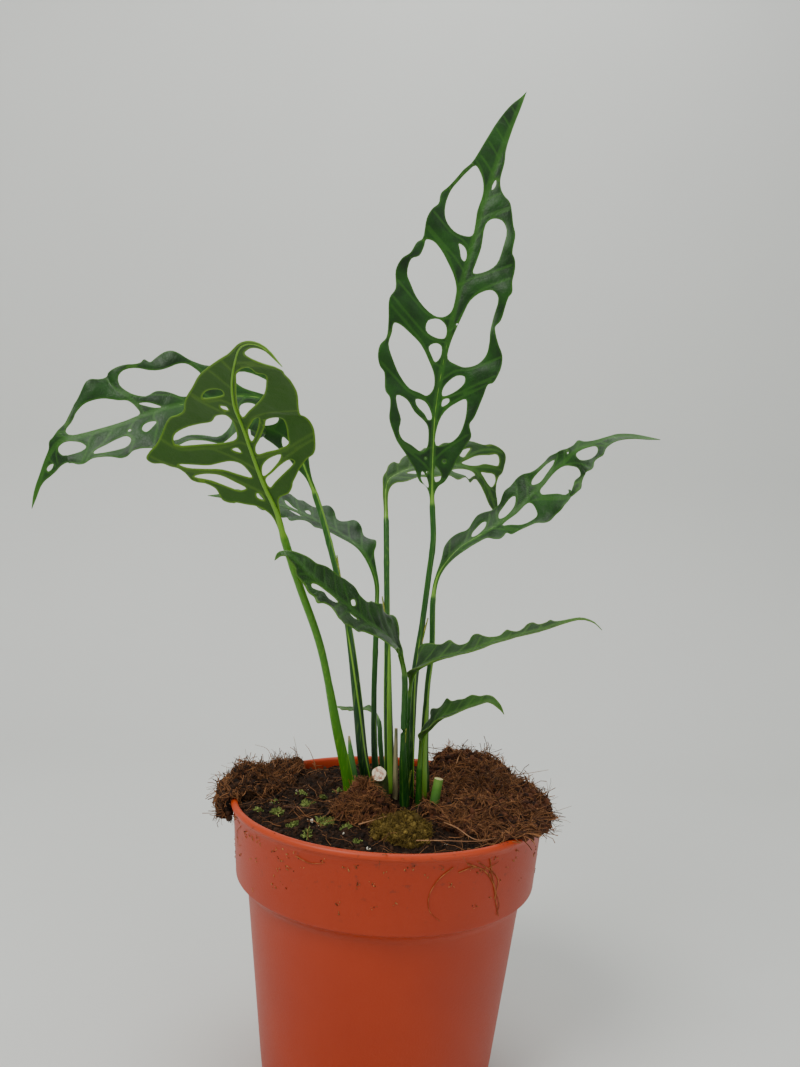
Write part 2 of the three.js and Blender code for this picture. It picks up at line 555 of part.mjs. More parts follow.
// Triangulation of scattered points in a plane, each new point dividing the circles it falls in
function circle(points, a, b, c) {
  const [ax, ay] = points[a];
  const bx = points[b][0] - ax;
  const by = points[b][1] - ay;
  const cx = points[c][0] - ax;
  const cy = points[c][1] - ay;
  const d = 2 * (bx * cy - by * cx);
  const ux = (cy * (bx * bx + by * by) - by * (cx * cx + cy * cy)) / d;
  const uy = (bx * (cx * cx + cy * cy) - cx * (bx * bx + by * by)) / d;
  return { a, b, c, x: ax + ux, y: ay + uy, r2: ux * ux + uy * uy };
}

function delaunay(points) {
  const count = points.length;
  const all = [...points, [-1500, -1300], [1700, -1200], [100, 2500]];
  let triangles = [circle(all, count, count + 1, count + 2)];
  for (let i = 0; i < count; i += 1) {
    const rim = new Map();
    const kept = [];
    for (const t of triangles) {
      if ((all[i][0] - t.x) ** 2 + (all[i][1] - t.y) ** 2 >= t.r2) {
        kept.push(t);
        continue;
      }
      for (const [p, q] of [[t.a, t.b], [t.b, t.c], [t.c, t.a]]) {
        const twin = `${q},${p}`;
        if (!rim.delete(twin)) rim.set(`${p},${q}`, [p, q]);
      }
    }
    triangles = kept;
    for (const [p, q] of rim.values()) triangles.push(circle(all, p, q, i));
  }
  return triangles.filter((t) => t.a < count && t.b < count && t.c < count);
}

function inside(loop, x, y) {
  let odd = false;
  for (let i = 0, j = loop.length - 1; i < loop.length; j = i, i += 1) {
    const [xi, yi] = loop[i];
    const [xj, yj] = loop[j];
    if (yi > y !== yj > y && x < ((xj - xi) * (y - yi)) / (yj - yi) + xi) odd = !odd;
  }
  return odd;
}

function nearLoop(loop, x, y, reach) {
  return loop.some(([ax, ay], i) => {
    const [bx, by] = loop[(i + 1) % loop.length];
    const span = (bx - ax) ** 2 + (by - ay) ** 2;
    const share = Math.min(1, Math.max(0, ((x - ax) * (bx - ax) + (y - ay) * (by - ay)) / span));
    return Math.hypot(x - ax - share * (bx - ax), y - ay - share * (by - ay)) < reach;
  });
}

// Flat blade between its margins, less its windows, as points and triangles
function flatBlade(leaf, length, stepAlong, stepAcross) {
  const outer = [...leaf.plus, [length, 0], ...[...leaf.minus].reverse()].map(([s, t]) => [s, t]);
  const loops = [outer, ...leaf.holes.map((hole) => hole.map(([s, t]) => [s, t]))];
  const within = (x, y) => inside(loops[0], x, y) && !loops.slice(1).some((l) => inside(l, x, y));
  const inner = [];
  const rows = Math.ceil(40 / stepAcross);
  for (let s = 2; s < length; s += stepAlong) {
    for (let row = -rows; row <= rows; row += 1) {
      const odd = Math.round((s - 2) / stepAlong) % 2;
      const side = Math.sign(row);
      const t = row === 0 ? 0 : side * (1.2 + (Math.abs(row) - 1) * stepAcross);
      const x = s + (Math.abs(row) > 1 ? odd * 0.3 * stepAlong : 0) + 0.07 * Math.sin(5 * s + 3 * t);
      const y = t + 0.05 * Math.sin(7 * s + t);
      const clear = Math.abs(row) > 1 ? 1.4 : 0.6;
      if (within(x, y) && !loops.some((l) => nearLoop(l, x, y, clear))) inner.push([x, y]);
    }
  }
  for (let round = 0; round < 8; round += 1) {
    const points = [...loops.flat(), ...inner];
    const triangles = delaunay(points);
    const edges = new Set();
    const edge = (p, q) => `${Math.min(p, q)},${Math.max(p, q)}`;
    for (const t of triangles) {
      for (const [p, q] of [[t.a, t.b], [t.b, t.c], [t.c, t.a]]) edges.add(edge(p, q));
    }
    let start = 0;
    let missing = 0;
    for (const loop of loops) {
      const count = loop.length;
      for (let i = count - 1; i >= 0; i -= 1) {
        const p = start + i;
        const q = start + ((i + 1) % count);
        if (!edges.has(edge(p, q))) {
          const [ax, ay] = points[p];
          const [bx, by] = points[q];
          loop.splice(i + 1, 0, [(ax + bx) / 2, (ay + by) / 2]);
          missing += 1;
        }
      }
      start += count;
    }
    if (missing === 0) {
      const kept = triangles.filter((t) => {
        const x = (points[t.a][0] + points[t.b][0] + points[t.c][0]) / 3;
        const y = (points[t.a][1] + points[t.b][1] + points[t.c][1]) / 3;
        return within(x, y);
      });
      return { points, triangles: kept.map((t) => [t.a, t.b, t.c]) };
    }
  }
  throw new Error(`margin of ${leaf.name} could not be followed`);
}

// The leaf's centre line with the blade's frame along it
function centreLine(leaf) {
  const knots = [...leaf.petiole, ...leaf.rib].map((p) => new THREE.Vector3(...p));
  const curve = new THREE.CatmullRomCurve3(knots, false, 'centripetal');
  const perKnot = 24;
  const points = curve.getPoints((knots.length - 1) * perKnot);
  const start = (leaf.petiole.length - 1) * perKnot;
  const along = [0];
  for (let i = 1; i < points.length; i += 1) along.push(along[i - 1] + points[i].distanceTo(points[i - 1]));
  const zero = along[start];
  return { points, along: along.map((d) => d - zero), length: along[along.length - 1] - zero };
}

function blend(table, share) {
  let i = 0;
  while (i < table.length - 2 && table[i + 1][0] < share) i += 1;
  const [from, to] = [table[i], table[i + 1]];
  const k = THREE.MathUtils.clamp((share - from[0]) / (to[0] - from[0]), 0, 1);
  return new THREE.Vector3(...[1, 2, 3].map((n) => from[n] + (to[n] - from[n]) * k));
}

function frameAt(leaf, line, s) {
  const { points, along, length } = line;
  let i = 1;
  while (i < along.length - 1 && along[i] < s) i += 1;
  const k = (s - along[i - 1]) / (along[i] - along[i - 1]);
  const centre = points[i - 1].clone().lerp(points[i], THREE.MathUtils.clamp(k, 0, 1));
  const before = points[Math.max(0, i - 2)];
  const after = points[Math.min(points.length - 1, i + 1)];
  const tangent = after.clone().sub(before).normalize();
  let hint = blend(leaf.face, Math.max(0, s / length));
  if (s < 0) {
    const share = Math.min(1, s / along[0]);
    hint = hint.lerp(new THREE.Vector3(...leaf.groove), share);
  }
  const across = new THREE.Vector3().crossVectors(tangent, hint).normalize();
  const normal = new THREE.Vector3().crossVectors(across, tangent);
  return { centre, tangent, across, normal };
}

// Point of the blade above (s, t), raised by lift along the blade's own normal
function bladePoint(leaf, line, s, t, lift) {
  const { centre, across, normal } = frameAt(leaf, line, s);
  const side = Math.sign(t) || 1;
  const fold = THREE.MathUtils.degToRad(side > 0 ? leaf.fold[1] : leaf.fold[0]);
  const away = Math.abs(t);
  const [height, wavelength, phase] = leaf.wave;
  const ruffle = height * Math.min(1, away / leaf.half) ** 2;
  const turn = (2 * Math.PI * s) / wavelength + (side > 0 ? phase : 0);
  const out = side * (away * Math.cos(fold) - lift * Math.sin(fold) * Math.min(1, away));
  const up = away * Math.sin(fold) + ruffle * Math.sin(turn) + lift;
  return centre.clone().addScaledVector(across, out).addScaledVector(normal, up).toArray();
}

function bladeGeometry(leaf, line) {
  const stepAlong = leaf.wave[1] > 13 ? 6 : 4;
  const { points, triangles } = flatBlade(leaf, line.length, stepAlong, stepAlong);
  const count = points.length;
  const midrib = (s, t) => midribDepth * Math.max(0, 1 - Math.abs(t) / 1.1) * (1 - (0.8 * s) / line.length);
  const top = points.map(([s, t]) => bladePoint(leaf, line, s, t, bladeThickness / 2));
  const under = points.map(([s, t]) => bladePoint(leaf, line, s, t, -bladeThickness / 2 - midrib(s, t)));
  const faces = [];
  const open = new Map();
  for (const [a, b, c] of triangles) {
    faces.push([a, c, b], [count + a, count + b, count + c]);
    for (const [p, q] of [[a, b], [b, c], [c, a]]) {
      if (!open.delete(`${q},${p}`)) open.set(`${p},${q}`, [p, q]);
    }
  }
  for (const [p, q] of open.values()) faces.push([p, count + q, count + p], [p, q, count + q]);
  return indexed([...top, ...under], faces);
}

// Petiole: a stalk with a channel along its groove side, open as a sheath near its foot
function petioleGeometry(leaf, line, clearance = 0) {
  const [foot, neck] = leaf.radius;
  const first = line.along[0];
  const total = -first;
  const last = Math.min(6, line.length / 10);
  const steps = Math.max(6, Math.round((last - first) / petioleStep));
  const rings = [];
  for (let i = 0; i <= steps; i += 1) {
    const s = first + ((last - first) * i) / steps;
    const share = (s - first) / total;
    const open = THREE.MathUtils.clamp(1 - share / leaf.sheath, 0, 1);
    const round = neck + (foot - neck) * open ** 0.7;
    const radius = (s > 0 ? round * (1 - (0.5 * s) / last) : round) + clearance;
    const channel = clearance > 0 || share < 0.06 ? 0 : 0.35 * Math.sqrt(open);
    const { centre, tangent, across, normal } = frameAt(leaf, line, s);
    if (i === 0) centre.addScaledVector(tangent, -clearance);
    const ring = [];
    for (let k = 0; k < petioleSides; k += 1) {
      const angle = (2 * Math.PI * k) / petioleSides;
      const lip = k === 1 || k === petioleSides - 1 ? 1 + 0.2 * channel : 1;
      const reach = radius * (k === 0 ? 1 - channel : lip);
      ring.push(centre.clone()
        .addScaledVector(normal, reach * Math.cos(angle))
        .addScaledVector(across, reach * Math.sin(angle))
        .toArray());
    }
    rings.push(ring);
  }
  return tube(rings);
}

// Closed tube through equal rings of points, with flat ends
function tube(rings) {
  const sides = rings[0].length;
  const faces = [];
  for (let i = 0; i < rings.length - 1; i += 1) {
    for (let k = 0; k < sides; k += 1) {
      const a = i * sides + k;
      const b = i * sides + ((k + 1) % sides);
      faces.push([a, b, a + sides], [b, b + sides, a + sides]);
    }
  }
  const end = (rings.length - 1) * sides;
  for (let k = 1; k < sides - 1; k += 1) {
    faces.push([0, k + 1, k], [end, end + k, end + k + 1]);
  }
  return indexed(rings.flat(), faces);
}

function stalk(path, radii, sides = 8) {
  const knots = path.map((p) => new THREE.Vector3(...p));
  const curve = new THREE.CatmullRomCurve3(knots, false, 'centripetal');
  const rings = radii.map((radius, i) => {
    const u = i / (radii.length - 1);
    const centre = curve.getPoint(u);
    const tangent = curve.getTangent(u);
    const across = new THREE.Vector3(0, 1, 0).cross(tangent).normalize();
    const normal = new THREE.Vector3().crossVectors(tangent, across);
    return Array.from({ length: sides }, (_, k) => {
      const angle = (2 * Math.PI * k) / sides;
      return centre.clone()
        .addScaledVector(normal, radius * Math.cos(angle))
        .addScaledVector(across, radius * Math.sin(angle))
        .toArray();
    });
  });
  const solid = toSolid(tube(rings));
  return solid.volume() > 0 ? solid : toSolid(tube(rings.reverse()));
}

// Pot: one turned shell with a rolled lip, a deeper band below it and a tapering body
function turned(profile, segments = 48) {
  const geometry = new THREE.LatheGeometry(profile.map(([r, z]) => new THREE.Vector2(r, z)), segments);
  geometry.rotateX(Math.PI / 2);
  return toSolid(geometry);
}

const shoulderRadius = 52.3;
const shoulder = 72.5;
const lipFoot = potHeight - 3.6;
const potProfile = [
  [0, 0],
  [baseRadius - 1.5, 0],
  [baseRadius, 1.5],
  [shoulderRadius, shoulder],
  [bandFootRadius, bandFoot],
  [rimRadius - 1, lipFoot],
  [rimRadius, lipFoot + 0.8],
  [rimRadius, potHeight - 0.8],
  [rimRadius - 0.7, potHeight],
  [rimRadius - 1.8, potHeight],
  [rimRadius - 2.5, potHeight - 0.8],
  [rimRadius - 1 - wall, lipFoot],
  [bandFootRadius - wall, bandFoot + 0.4],
  [shoulderRadius - wall, shoulder + 0.4],
  [baseRadius - wall, 2],
  [0, 2],
];
let pot = turned(potProfile);
for (let i = 0; i < drainCount; i += 1) {
  const angle = (2 * Math.PI * i) / drainCount;
  const drill = new THREE.CylinderGeometry(drainRadius, drainRadius, 8, 16);
  drill.rotateX(Math.PI / 2);
  drill.translate(drainRing * Math.cos(angle), drainRing * Math.sin(angle), 1);
  pot = pot.subtract(toSolid(drill));
}

// Soil: fills the pot, a little lower at the back left, with a hole for every stem
function soilHeight(x, y) {
  const back = Math.max(0, (0.85 * y - 0.5 * x) / soilRadius);
  const crumbs = 0.5 * Math.sin(0.31 * x + 1) * Math.cos(0.27 * y) + 0.35 * Math.sin(0.7 * x - 0.5 * y);
  const crown = Math.exp(-(x * x + y * y) / 500);
  return soilTop + crumbs + crown - 2.2 * back ** 1.5;
}

// Closed body below a field of heights over rings [rx, ry], with sides through rings [rx, ry, z]
function heap({ x = 0, y = 0, turn = 0, rings, sectors, height, sides }) {
  const positions = [[x, y, height(x, y)]];
  const faces = [];
  const spot = (level, k) => 1 + level * sectors + (k % sectors);
  const cos = Math.cos(turn);
  const sin = Math.sin(turn);
  for (const [rx, ry, z] of [...rings, ...sides]) {
    for (let k = 0; k < sectors; k += 1) {
      const a = (2 * Math.PI * k) / sectors;
      const u = rx * Math.cos(a);
      const v = ry * Math.sin(a);
      const px = x + u * cos - v * sin;
      const py = y + u * sin + v * cos;
      positions.push([px, py, z === undefined ? height(px, py) : z]);
    }
  }
  const levels = rings.length + sides.length;
  for (let k = 0; k < sectors; k += 1) {
    faces.push([0, spot(0, k), spot(0, k + 1)]);
    for (let level = 0; level < levels - 1; level += 1) {
      const [a, b] = [spot(level, k), spot(level, k + 1)];
      const [c, d] = [spot(level + 1, k), spot(level + 1, k + 1)];
      faces.push([a, c, b], [b, c, d]);
    }
  }
  const low = sides[sides.length - 1][2];
  positions.push([x, y, low]);
  const last = positions.length - 1;
  for (let k = 0; k < sectors; k += 1) faces.push([last, spot(levels - 1, k + 1), spot(levels - 1, k)]);
  return toSolid(indexed(positions, faces));
}

const side = (r, z) => [r, r, z];
let soil = heap({
  rings: [10, 20, 30, 39, 47, 52.5, soilRadius].map((r) => [r, r]),
  sectors: 48,
  height: soilHeight,
  sides: [
    side(bandFootRadius - wall - gap, bandFoot + 0.6),
    side(shoulderRadius - wall - 1.4 * gap, shoulder + 0.4),
    side(baseRadius - wall - gap, 2 + gap),
  ],
});

// Stems that carry no blade, as a path from inside the soil and radii spread evenly along it
const stems = {
  rhizome: {
    path: [[-2.8, -3, 94], [-2.8, -3.2, 104], [-3.2, -4.2, 110], [-3.7, -6.6, 114.6], [-4.1, -10.6, 116.4]],
    radii: [3, 3, 3, 2.9, 2.9, 2.8, 2.7],
    colour: cutColour,
  },
  petiole_stub: {
    path: [[17.4, -8, 94], [17.4, -8, 105], [18.6, -8, 115]],
    radii: [1.8, 1.8, 1.8, 1.7],
    colour: youngLeafColour,
  },
  sheath_spear: {
    path: [[-12.7, -3.3, 94], [-12.8, -3.3, 106], [-14.8, -3.7, 118], [-16.4, -4, 128.4]],
    radii: [1.6, 1.6, 1.6, 1.5, 1.1, 0.4],
    colour: stemColour,
  },
  dried_stem: {
    path: [[2.6, -2, 94], [2.5, -2, 104], [2, -2.3, 118], [1.5, -2.5, 132]],
    radii: [1, 1, 1, 0.9, 0.8, 0.6],
    colour: cutColour,
  },
};

const bodies = [];
const sockets = [];
for (const leaf of leaves) {
  const line = centreLine(leaf);
  const body = toSolid(bladeGeometry(leaf, line)).add(toSolid(petioleGeometry(leaf, line)));
  const colour = leaf.name === 'leaf_near_left' ? youngLeafColour : leafColour;
  bodies.push({ name: leaf.name, body, colour, roughness: 0.4 });
  sockets.push(toSolid(petioleGeometry(leaf, line, gap + 0.2)));
}
for (const [name, { path, radii, colour }] of Object.entries(stems)) {
  bodies.push({ name, body: stalk(path, radii), colour, roughness: 0.6 });
  const [x, y, z] = path[0];
  const deeper = [[x, y, z - gap], ...path.slice(1)];
  sockets.push(stalk(deeper, radii.map((r) => r + gap)));
}
const soilBelow = soil.translate([0, 0, gap]);
for (const socket of sockets) soil = soil.subtract(socket);

// Loose clumps that lie on the soil: fibre at the right, at the left and in front, and moss
function clumpHeight(lobes) {
  return (x, y) => {
    let z = soilHeight(x, y) + 0.4;
    for (const [cx, cy, rx, ry, rise] of lobes) {
      z += rise * Math.exp(-(((x - cx) / rx) ** 2) - ((y - cy) / ry) ** 2);
    }
    return z + 0.5 * Math.sin(0.9 * x + 0.4 * y) * Math.sin(0.8 * y - 0.3 * x);
  };
}

const clumps = {
  coir_mound_right: {
    x: 36, y: 2, turn: 0.15, reach: [25, 44], floor: potHeight + gap, colour: coirColour,
    lobes: [
      [36, 40, 18, 13, 9], [50, 4, 14, 20, 5.5], [34, 14, 16, 18, 2.5],
      [34, -14, 13, 14, 3], [22, 44, 9, 8, 4],
    ],
  },
  coir_tuft_left: {
    x: -52, y: 16, turn: -0.3, reach: [11, 30], floor: 97, colour: coirColour,
    lobes: [[-57, 9, 8, 10, 9], [-46, 34, 9, 9, 3.5], [-58, -8, 8, 9, 4]],
  },
  coir_clump_front: {
    x: -9, y: -21, turn: 0, reach: [10, 9], floor: potHeight + gap, colour: coirColour,
    lobes: [[-9.5, -19, 6.5, 5.5, 9.5], [-13, -23, 5, 4, 4], [-4, -21, 4.5, 4.5, 3.5]],
  },
  moss_clump_front: {
    x: 5, y: -36, turn: 0, reach: [10, 12], floor: potHeight + gap, colour: mossColour,
    lobes: [[6, -32, 7, 7, 5], [3, -42, 6, 5, 2.5]],
  },
};
const clumpFloor = 90;
const clumpEdge = soilRadius - 1;
function besideRim(from, to, height) {
  return turned([[from, clumpFloor], [to, clumpFloor], [to, height], [from, height], [from, clumpFloor]]);
}
const aroundRim = besideRim(clumpEdge, rimRadius + gap + 0.1, potHeight + gap);
for (const [name, { x, y, turn, reach, floor, colour, lobes }] of Object.entries(clumps)) {
  const [rx, ry] = reach;
  let clump = heap({
    x,
    y,
    turn,
    rings: [0.2, 0.4, 0.6, 0.8, 0.95].map((share) => [share * rx, share * ry]),
    sectors: 24,
    height: clumpHeight(lobes),
    sides: [[rx, ry, clumpFloor]],
  });
  clump = clump.subtract(soilBelow).subtract(aroundRim);
  clump = clump.subtract(besideRim(rimRadius, rimRadius + 20, floor));
  for (const socket of sockets) clump = clump.subtract(socket);
  const [largest] = clump.decompose().sort((a, b) => b.volume() - a.volume());
  bodies.push({ name, body: largest, colour, roughness: 0.95 });
}
bodies.push({ name: 'soil', body: soil, colour: soilColour, roughness: 1 });
bodies.push({ name: 'pot', body: pot, colour: potColour, roughness: 0.5 });

const plant = new THREE.Group();
for (const { name, body, colour, roughness } of bodies) {
  const material = new THREE.MeshStandardMaterial({ color: colour, roughness, metalness: 0 });
  const mesh = new THREE.Mesh(toGeometry(body), material);
  mesh.name = name;
  plant.add(mesh);
}

export default plant;
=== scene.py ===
import math
import random

import bpy
import numpy as np
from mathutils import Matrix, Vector, geometry, noise


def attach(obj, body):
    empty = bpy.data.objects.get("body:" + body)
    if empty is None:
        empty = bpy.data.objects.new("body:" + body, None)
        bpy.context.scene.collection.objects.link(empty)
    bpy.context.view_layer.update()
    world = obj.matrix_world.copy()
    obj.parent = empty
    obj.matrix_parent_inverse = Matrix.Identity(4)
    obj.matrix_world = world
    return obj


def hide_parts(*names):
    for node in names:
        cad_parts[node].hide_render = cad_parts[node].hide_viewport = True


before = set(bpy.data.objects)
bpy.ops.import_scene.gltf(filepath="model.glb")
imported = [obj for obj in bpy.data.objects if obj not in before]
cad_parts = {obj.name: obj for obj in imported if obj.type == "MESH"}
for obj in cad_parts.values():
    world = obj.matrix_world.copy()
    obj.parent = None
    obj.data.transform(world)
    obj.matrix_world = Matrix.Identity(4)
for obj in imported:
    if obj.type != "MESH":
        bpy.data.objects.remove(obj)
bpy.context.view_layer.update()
MM = 0.001


# The pot is a moulded terracotta-coloured nursery pot: a rolled lip, a deep band below it and a
# tapering body. Its plastic is satin, a little cloudy, scuffed and dusted with potting mix.
def srgb(red, green, blue):
    """Linear colour from the 0 to 255 values that a photo shows."""
    shares = [value / 255 for value in (red, green, blue)]
    return [s / 12.92 if s < 0.04045 else ((s + 0.055) / 1.055) ** 2.4 for s in shares] + [1.0]


def feed(tree, node, inputs):
    """Inputs of a node, each a socket to link or a value to set."""
    for key, value in inputs.items():
        if isinstance(value, bpy.types.NodeSocket):
            tree.links.new(value, node.inputs[key])
        else:
            node.inputs[key].default_value = value


def add(tree, kind, inputs=None, **settings):
    """New node with its settings and inputs."""
    node = tree.nodes.new(kind)
    for key, value in settings.items():
        setattr(node, key, value)
    feed(tree, node, inputs or {})
    return node


def mixed(tree, share, first, second):
    """Colour between two colours or sockets by a share."""
    node = add(tree, "ShaderNodeMix", {0: share, 6: first, 7: second}, data_type="RGBA")
    return node.outputs[2]


def calc(tree, operation, *values):
    """Result of one step of arithmetic on sockets or plain numbers."""
    node = add(tree, "ShaderNodeMath", dict(enumerate(values)), operation=operation)
    return node.outputs[0]


def ramp(tree, value, low, high):
    """Smooth 0 to 1 share as the value goes from low to high."""
    inputs = {"Value": value, "From Min": low, "From Max": high}
    node = add(tree, "ShaderNodeMapRange", inputs, interpolation_type="SMOOTHSTEP")
    return node.outputs[0]


def new_material(name):
    """Empty material with a Principled surface; returns material, tree and that node."""
    material = bpy.data.materials.new(name)
    material.use_nodes = True
    tree = material.node_tree
    tree.nodes.clear()
    surface = add(tree, "ShaderNodeBsdfPrincipled")
    output = add(tree, "ShaderNodeOutputMaterial")
    tree.links.new(surface.outputs[0], output.inputs[0])
    return material, tree, surface


def grain_group():
    """Broad and fine mottling in object space, with a bumped normal from the fine part."""
    group = bpy.data.node_groups.new("Grain", "ShaderNodeTree")
    ports = group.interface
    for name, value in (("Broad scale", 40.0), ("Fine scale", 900.0), ("Relief", 0.0001)):
        socket = ports.new_socket(name, in_out="INPUT", socket_type="NodeSocketFloat")
        socket.default_value = value
    ports.new_socket("Broad", in_out="OUTPUT", socket_type="NodeSocketFloat")
    ports.new_socket("Fine", in_out="OUTPUT", socket_type="NodeSocketFloat")
    ports.new_socket("Normal", in_out="OUTPUT", socket_type="NodeSocketVector")
    given = add(group, "NodeGroupInput").outputs
    place = add(group, "ShaderNodeTexCoord").outputs["Object"]
    broad = {"Vector": place, "Scale": given["Broad scale"], "Detail": 4.0}
    broad = add(group, "ShaderNodeTexNoise", broad).outputs[0]
    fine = {"Vector": place, "Scale": given["Fine scale"], "Detail": 5.0}
    fine = add(group, "ShaderNodeTexNoise", fine).outputs[0]
    bump = add(group, "ShaderNodeBump", {"Height": fine, "Distance": given["Relief"]})
    results = {"Broad": broad, "Fine": fine, "Normal": bump.outputs[0]}
    add(group, "NodeGroupOutput", results)
    return group


GRAIN = grain_group()


def grain(tree, broad, fine, relief):
    """Grain group in a material."""
    values = {"Broad scale": broad, "Fine scale": fine, "Relief": relief}
    return add(tree, "ShaderNodeGroup", values, node_tree=GRAIN).outputs


def new_object(name, data):
    """Object in the scene that shows some data."""
    thing = bpy.data.objects.new(name, data)
    bpy.context.scene.collection.objects.link(thing)
    return thing


def ring_faces(first, rows, sides, turned=False):
    """Quads between closed rings of points that follow each other in a list."""
    faces = []
    for i in range(rows - 1):
        for k in range(sides):
            a = first + i * sides + k
            b = first + i * sides + (k + 1) % sides
            faces.append((a, a + sides, b + sides, b) if turned else (a, b, b + sides, a + sides))
    return faces


def mesh_piece(name, points, faces, materials, smooth_deg=40):
    """Object from points in millimetres, at the origin and smooth up to an angle."""
    mesh = bpy.data.meshes.new(name)
    mesh.from_pydata([[c * MM for c in p] for p in points], [], faces)
    mesh.validate()
    mesh.shade_smooth()
    mesh.set_sharp_from_angle(angle=math.radians(smooth_deg))
    for material in materials:
        mesh.materials.append(material)
    return new_object(name, mesh)


def stands_for(piece, slot, *nodes):
    """Piece rides on the only body in place of its CAD nodes."""
    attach(piece, "root")
    if nodes:
        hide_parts(*nodes)


def pot_plastic():
    material, tree, surface = new_material("Pot plastic")
    cloud = grain(tree, 28, 1600, 0.00006)
    place = add(tree, "ShaderNodeTexCoord").outputs["Object"]
    height = add(tree, "ShaderNodeSeparateXYZ", {0: place}).outputs[2]
    body = mixed(tree, cloud["Broad"], srgb(146, 40, 3), srgb(166, 50, 5))
    # Painted highlight: the top of the rolled lip is mixed halfway towards a lighter orange, standing in for
    # light from above.
    painted_lip_highlight = ramp(tree, height, 0.1005, 0.1042)
    body = mixed(tree, calc(tree, "MULTIPLY", painted_lip_highlight, 0.5), body, srgb(192, 68, 24))
    squeezed = add(tree, "ShaderNodeVectorMath", {0: place, 1: (1, 1, 2.2)}, operation="MULTIPLY")
    rubbed = {"Vector": squeezed.outputs[0], "Scale": 330.0, "Detail": 7.0, "Roughness": 0.7}
    rubbed = add(tree, "ShaderNodeTexNoise", rubbed).outputs[0]
    scuffs = calc(tree, "MULTIPLY", ramp(tree, rubbed, 0.64, 0.76), 0.3)
    body = mixed(tree, scuffs, body, srgb(180, 82, 42))
    spots = add(tree, "ShaderNodeTexNoise", {"Vector": place, "Scale": 420.0, "Detail": 6.0})
    near_rim = ramp(tree, height, 0.07, 0.104)
    dirt = calc(tree, "MULTIPLY", ramp(tree, spots.outputs[0], 0.62, 0.72), near_rim)
    body = mixed(tree, calc(tree, "MULTIPLY", dirt, 0.5), body, srgb(84, 40, 22))
    feed(tree, surface, {
        "Base Color": body,
        "Roughness": calc(tree, "MULTIPLY_ADD", cloud["Fine"], 0.18, 0.36),
        "Normal": cloud["Normal"],
        "Specular IOR Level": 0.35,
        "Subsurface Weight": 0.06,
        "Subsurface Radius": (0.004, 0.0015, 0.0008),
    })
    return material


SOIL_TOP = 103.2
SOIL_RADIUS = 56.9
FLOOR = 2.0
BAND_RADIUS = 56.9
BAND_FLARE = 2.0
BAND_LOW = 78.4
BAND_HEIGHT = 22.4
DRAINS = 8
DRAIN_RING = 29.0
DRAIN_RADIUS = 4.0


def arc(centre_r, centre_z, radius, start, end, steps):
    """Points of a rounded corner in the pot's section, angles in degrees."""
    turns = [math.radians(start + (end - start) * i / steps) for i in range(steps + 1)]
    return [(centre_r + radius * math.cos(a), centre_z + radius * math.sin(a)) for a in turns]


def pot_section():
    """Outside from the base up, over the rolled lip and down the inside."""
    outside = [(41.2, 0)] + arc(41.6, 1.4, 1.4, -80, -5, 4)
    outside += [(43.2 + 9.0 * i / 9, 1.6 + 70.6 * i / 9) for i in range(1, 10)]
    outside += [(52.5, 73.2), (53.4, 74.6), (54.9, 76.0), (56.2, 76.9)]
    outside += arc(55.9, 77.8, 0.95, -60, 0, 3)
    outside += [(BAND_RADIUS + BAND_FLARE * i / 6, BAND_LOW + BAND_HEIGHT * i / 6) for i in range(1, 7)]
    lip = arc(58.75, 103.5, 1.3, -60, 90, 10) + arc(58.7, 103.6, 1.2, 90, 175, 6)
    inside = [(57.5, 101.4), (55.3, 77.9), (50.8, 72.9), (41.5, 2.2)]
    return outside + lip + inside


def make_pot():
    section = pot_section()
    sectors = 144
    points = []
    for r, z in section:
        for k in range(sectors):
            angle = 2 * math.pi * k / sectors
            points.append((r * math.cos(angle), r * math.sin(angle), z))
    faces = ring_faces(0, len(section), sectors)
    add_floor(points, faces, 0, sectors, 0.0, False)
    add_floor(points, faces, (len(section) - 1) * sectors, sectors, FLOOR, True)
    drains_through(points, faces)
    piece = mesh_piece("pot_shell", points, faces, [pot_plastic()])
    stands_for(piece, "pot", "pot")


def drain_circles(z, sides=24):
    """Rings of points round the drain holes at a height."""
    rings = []
    for hole in range(DRAINS):
        turn = 2 * math.pi * hole / DRAINS
        cx = DRAIN_RING * math.cos(turn)
        cy = DRAIN_RING * math.sin(turn)
        angles = [2 * math.pi * k / sides for k in range(sides)]
        rings.append([(cx + DRAIN_RADIUS * math.cos(a), cy + DRAIN_RADIUS * math.sin(a), z) for a in angles])
    return rings


def add_floor(points, faces, first, sectors, z, upward):
    """Flat disc inside a ring of the shell, with the drain holes left open."""
    border = [Vector(points[first + k][:2]) for k in range(sectors)]
    flat = list(border)
    loops = [list(range(sectors))]
    for ring in drain_circles(z):
        loops.append(list(range(len(flat), len(flat) + len(ring))))
        flat += [Vector(p[:2]) for p in ring]
    found = geometry.delaunay_2d_cdt(flat, [], loops, 0, 1e-5)
    start = len(points)
    points += [(p.x, p.y, z) for p in found[0]]
    keep = {}
    for index, origins in enumerate(found[3]):
        for origin in origins:
            if origin < sectors:
                keep[index] = first + origin
    for tri in found[2]:
        cx = sum(found[0][i].x for i in tri) / 3
        cy = sum(found[0][i].y for i in tri) / 3
        spread = math.hypot(cx, cy)
        turn = math.atan2(cy, cx) / (2 * math.pi) * DRAINS
        slant = (turn - round(turn)) * 2 * math.pi / DRAINS
        near = math.hypot(spread * math.cos(slant) - DRAIN_RING, spread * math.sin(slant))
        if near < DRAIN_RADIUS * 0.99:
            continue
        face = [keep.get(i, start + i) for i in tri]
        faces.append(face if upward else face[::-1])


def drains_through(points, faces):
    """Walls of the drain holes."""
    for low, high in zip(drain_circles(0.0), drain_circles(FLOOR)):
        start = len(points)
        points += low + high
        count = len(low)
        for k in range(count):
            after = (k + 1) % count
            faces.append((start + k, start + count + k, start + count + after, start + after))


make_pot()


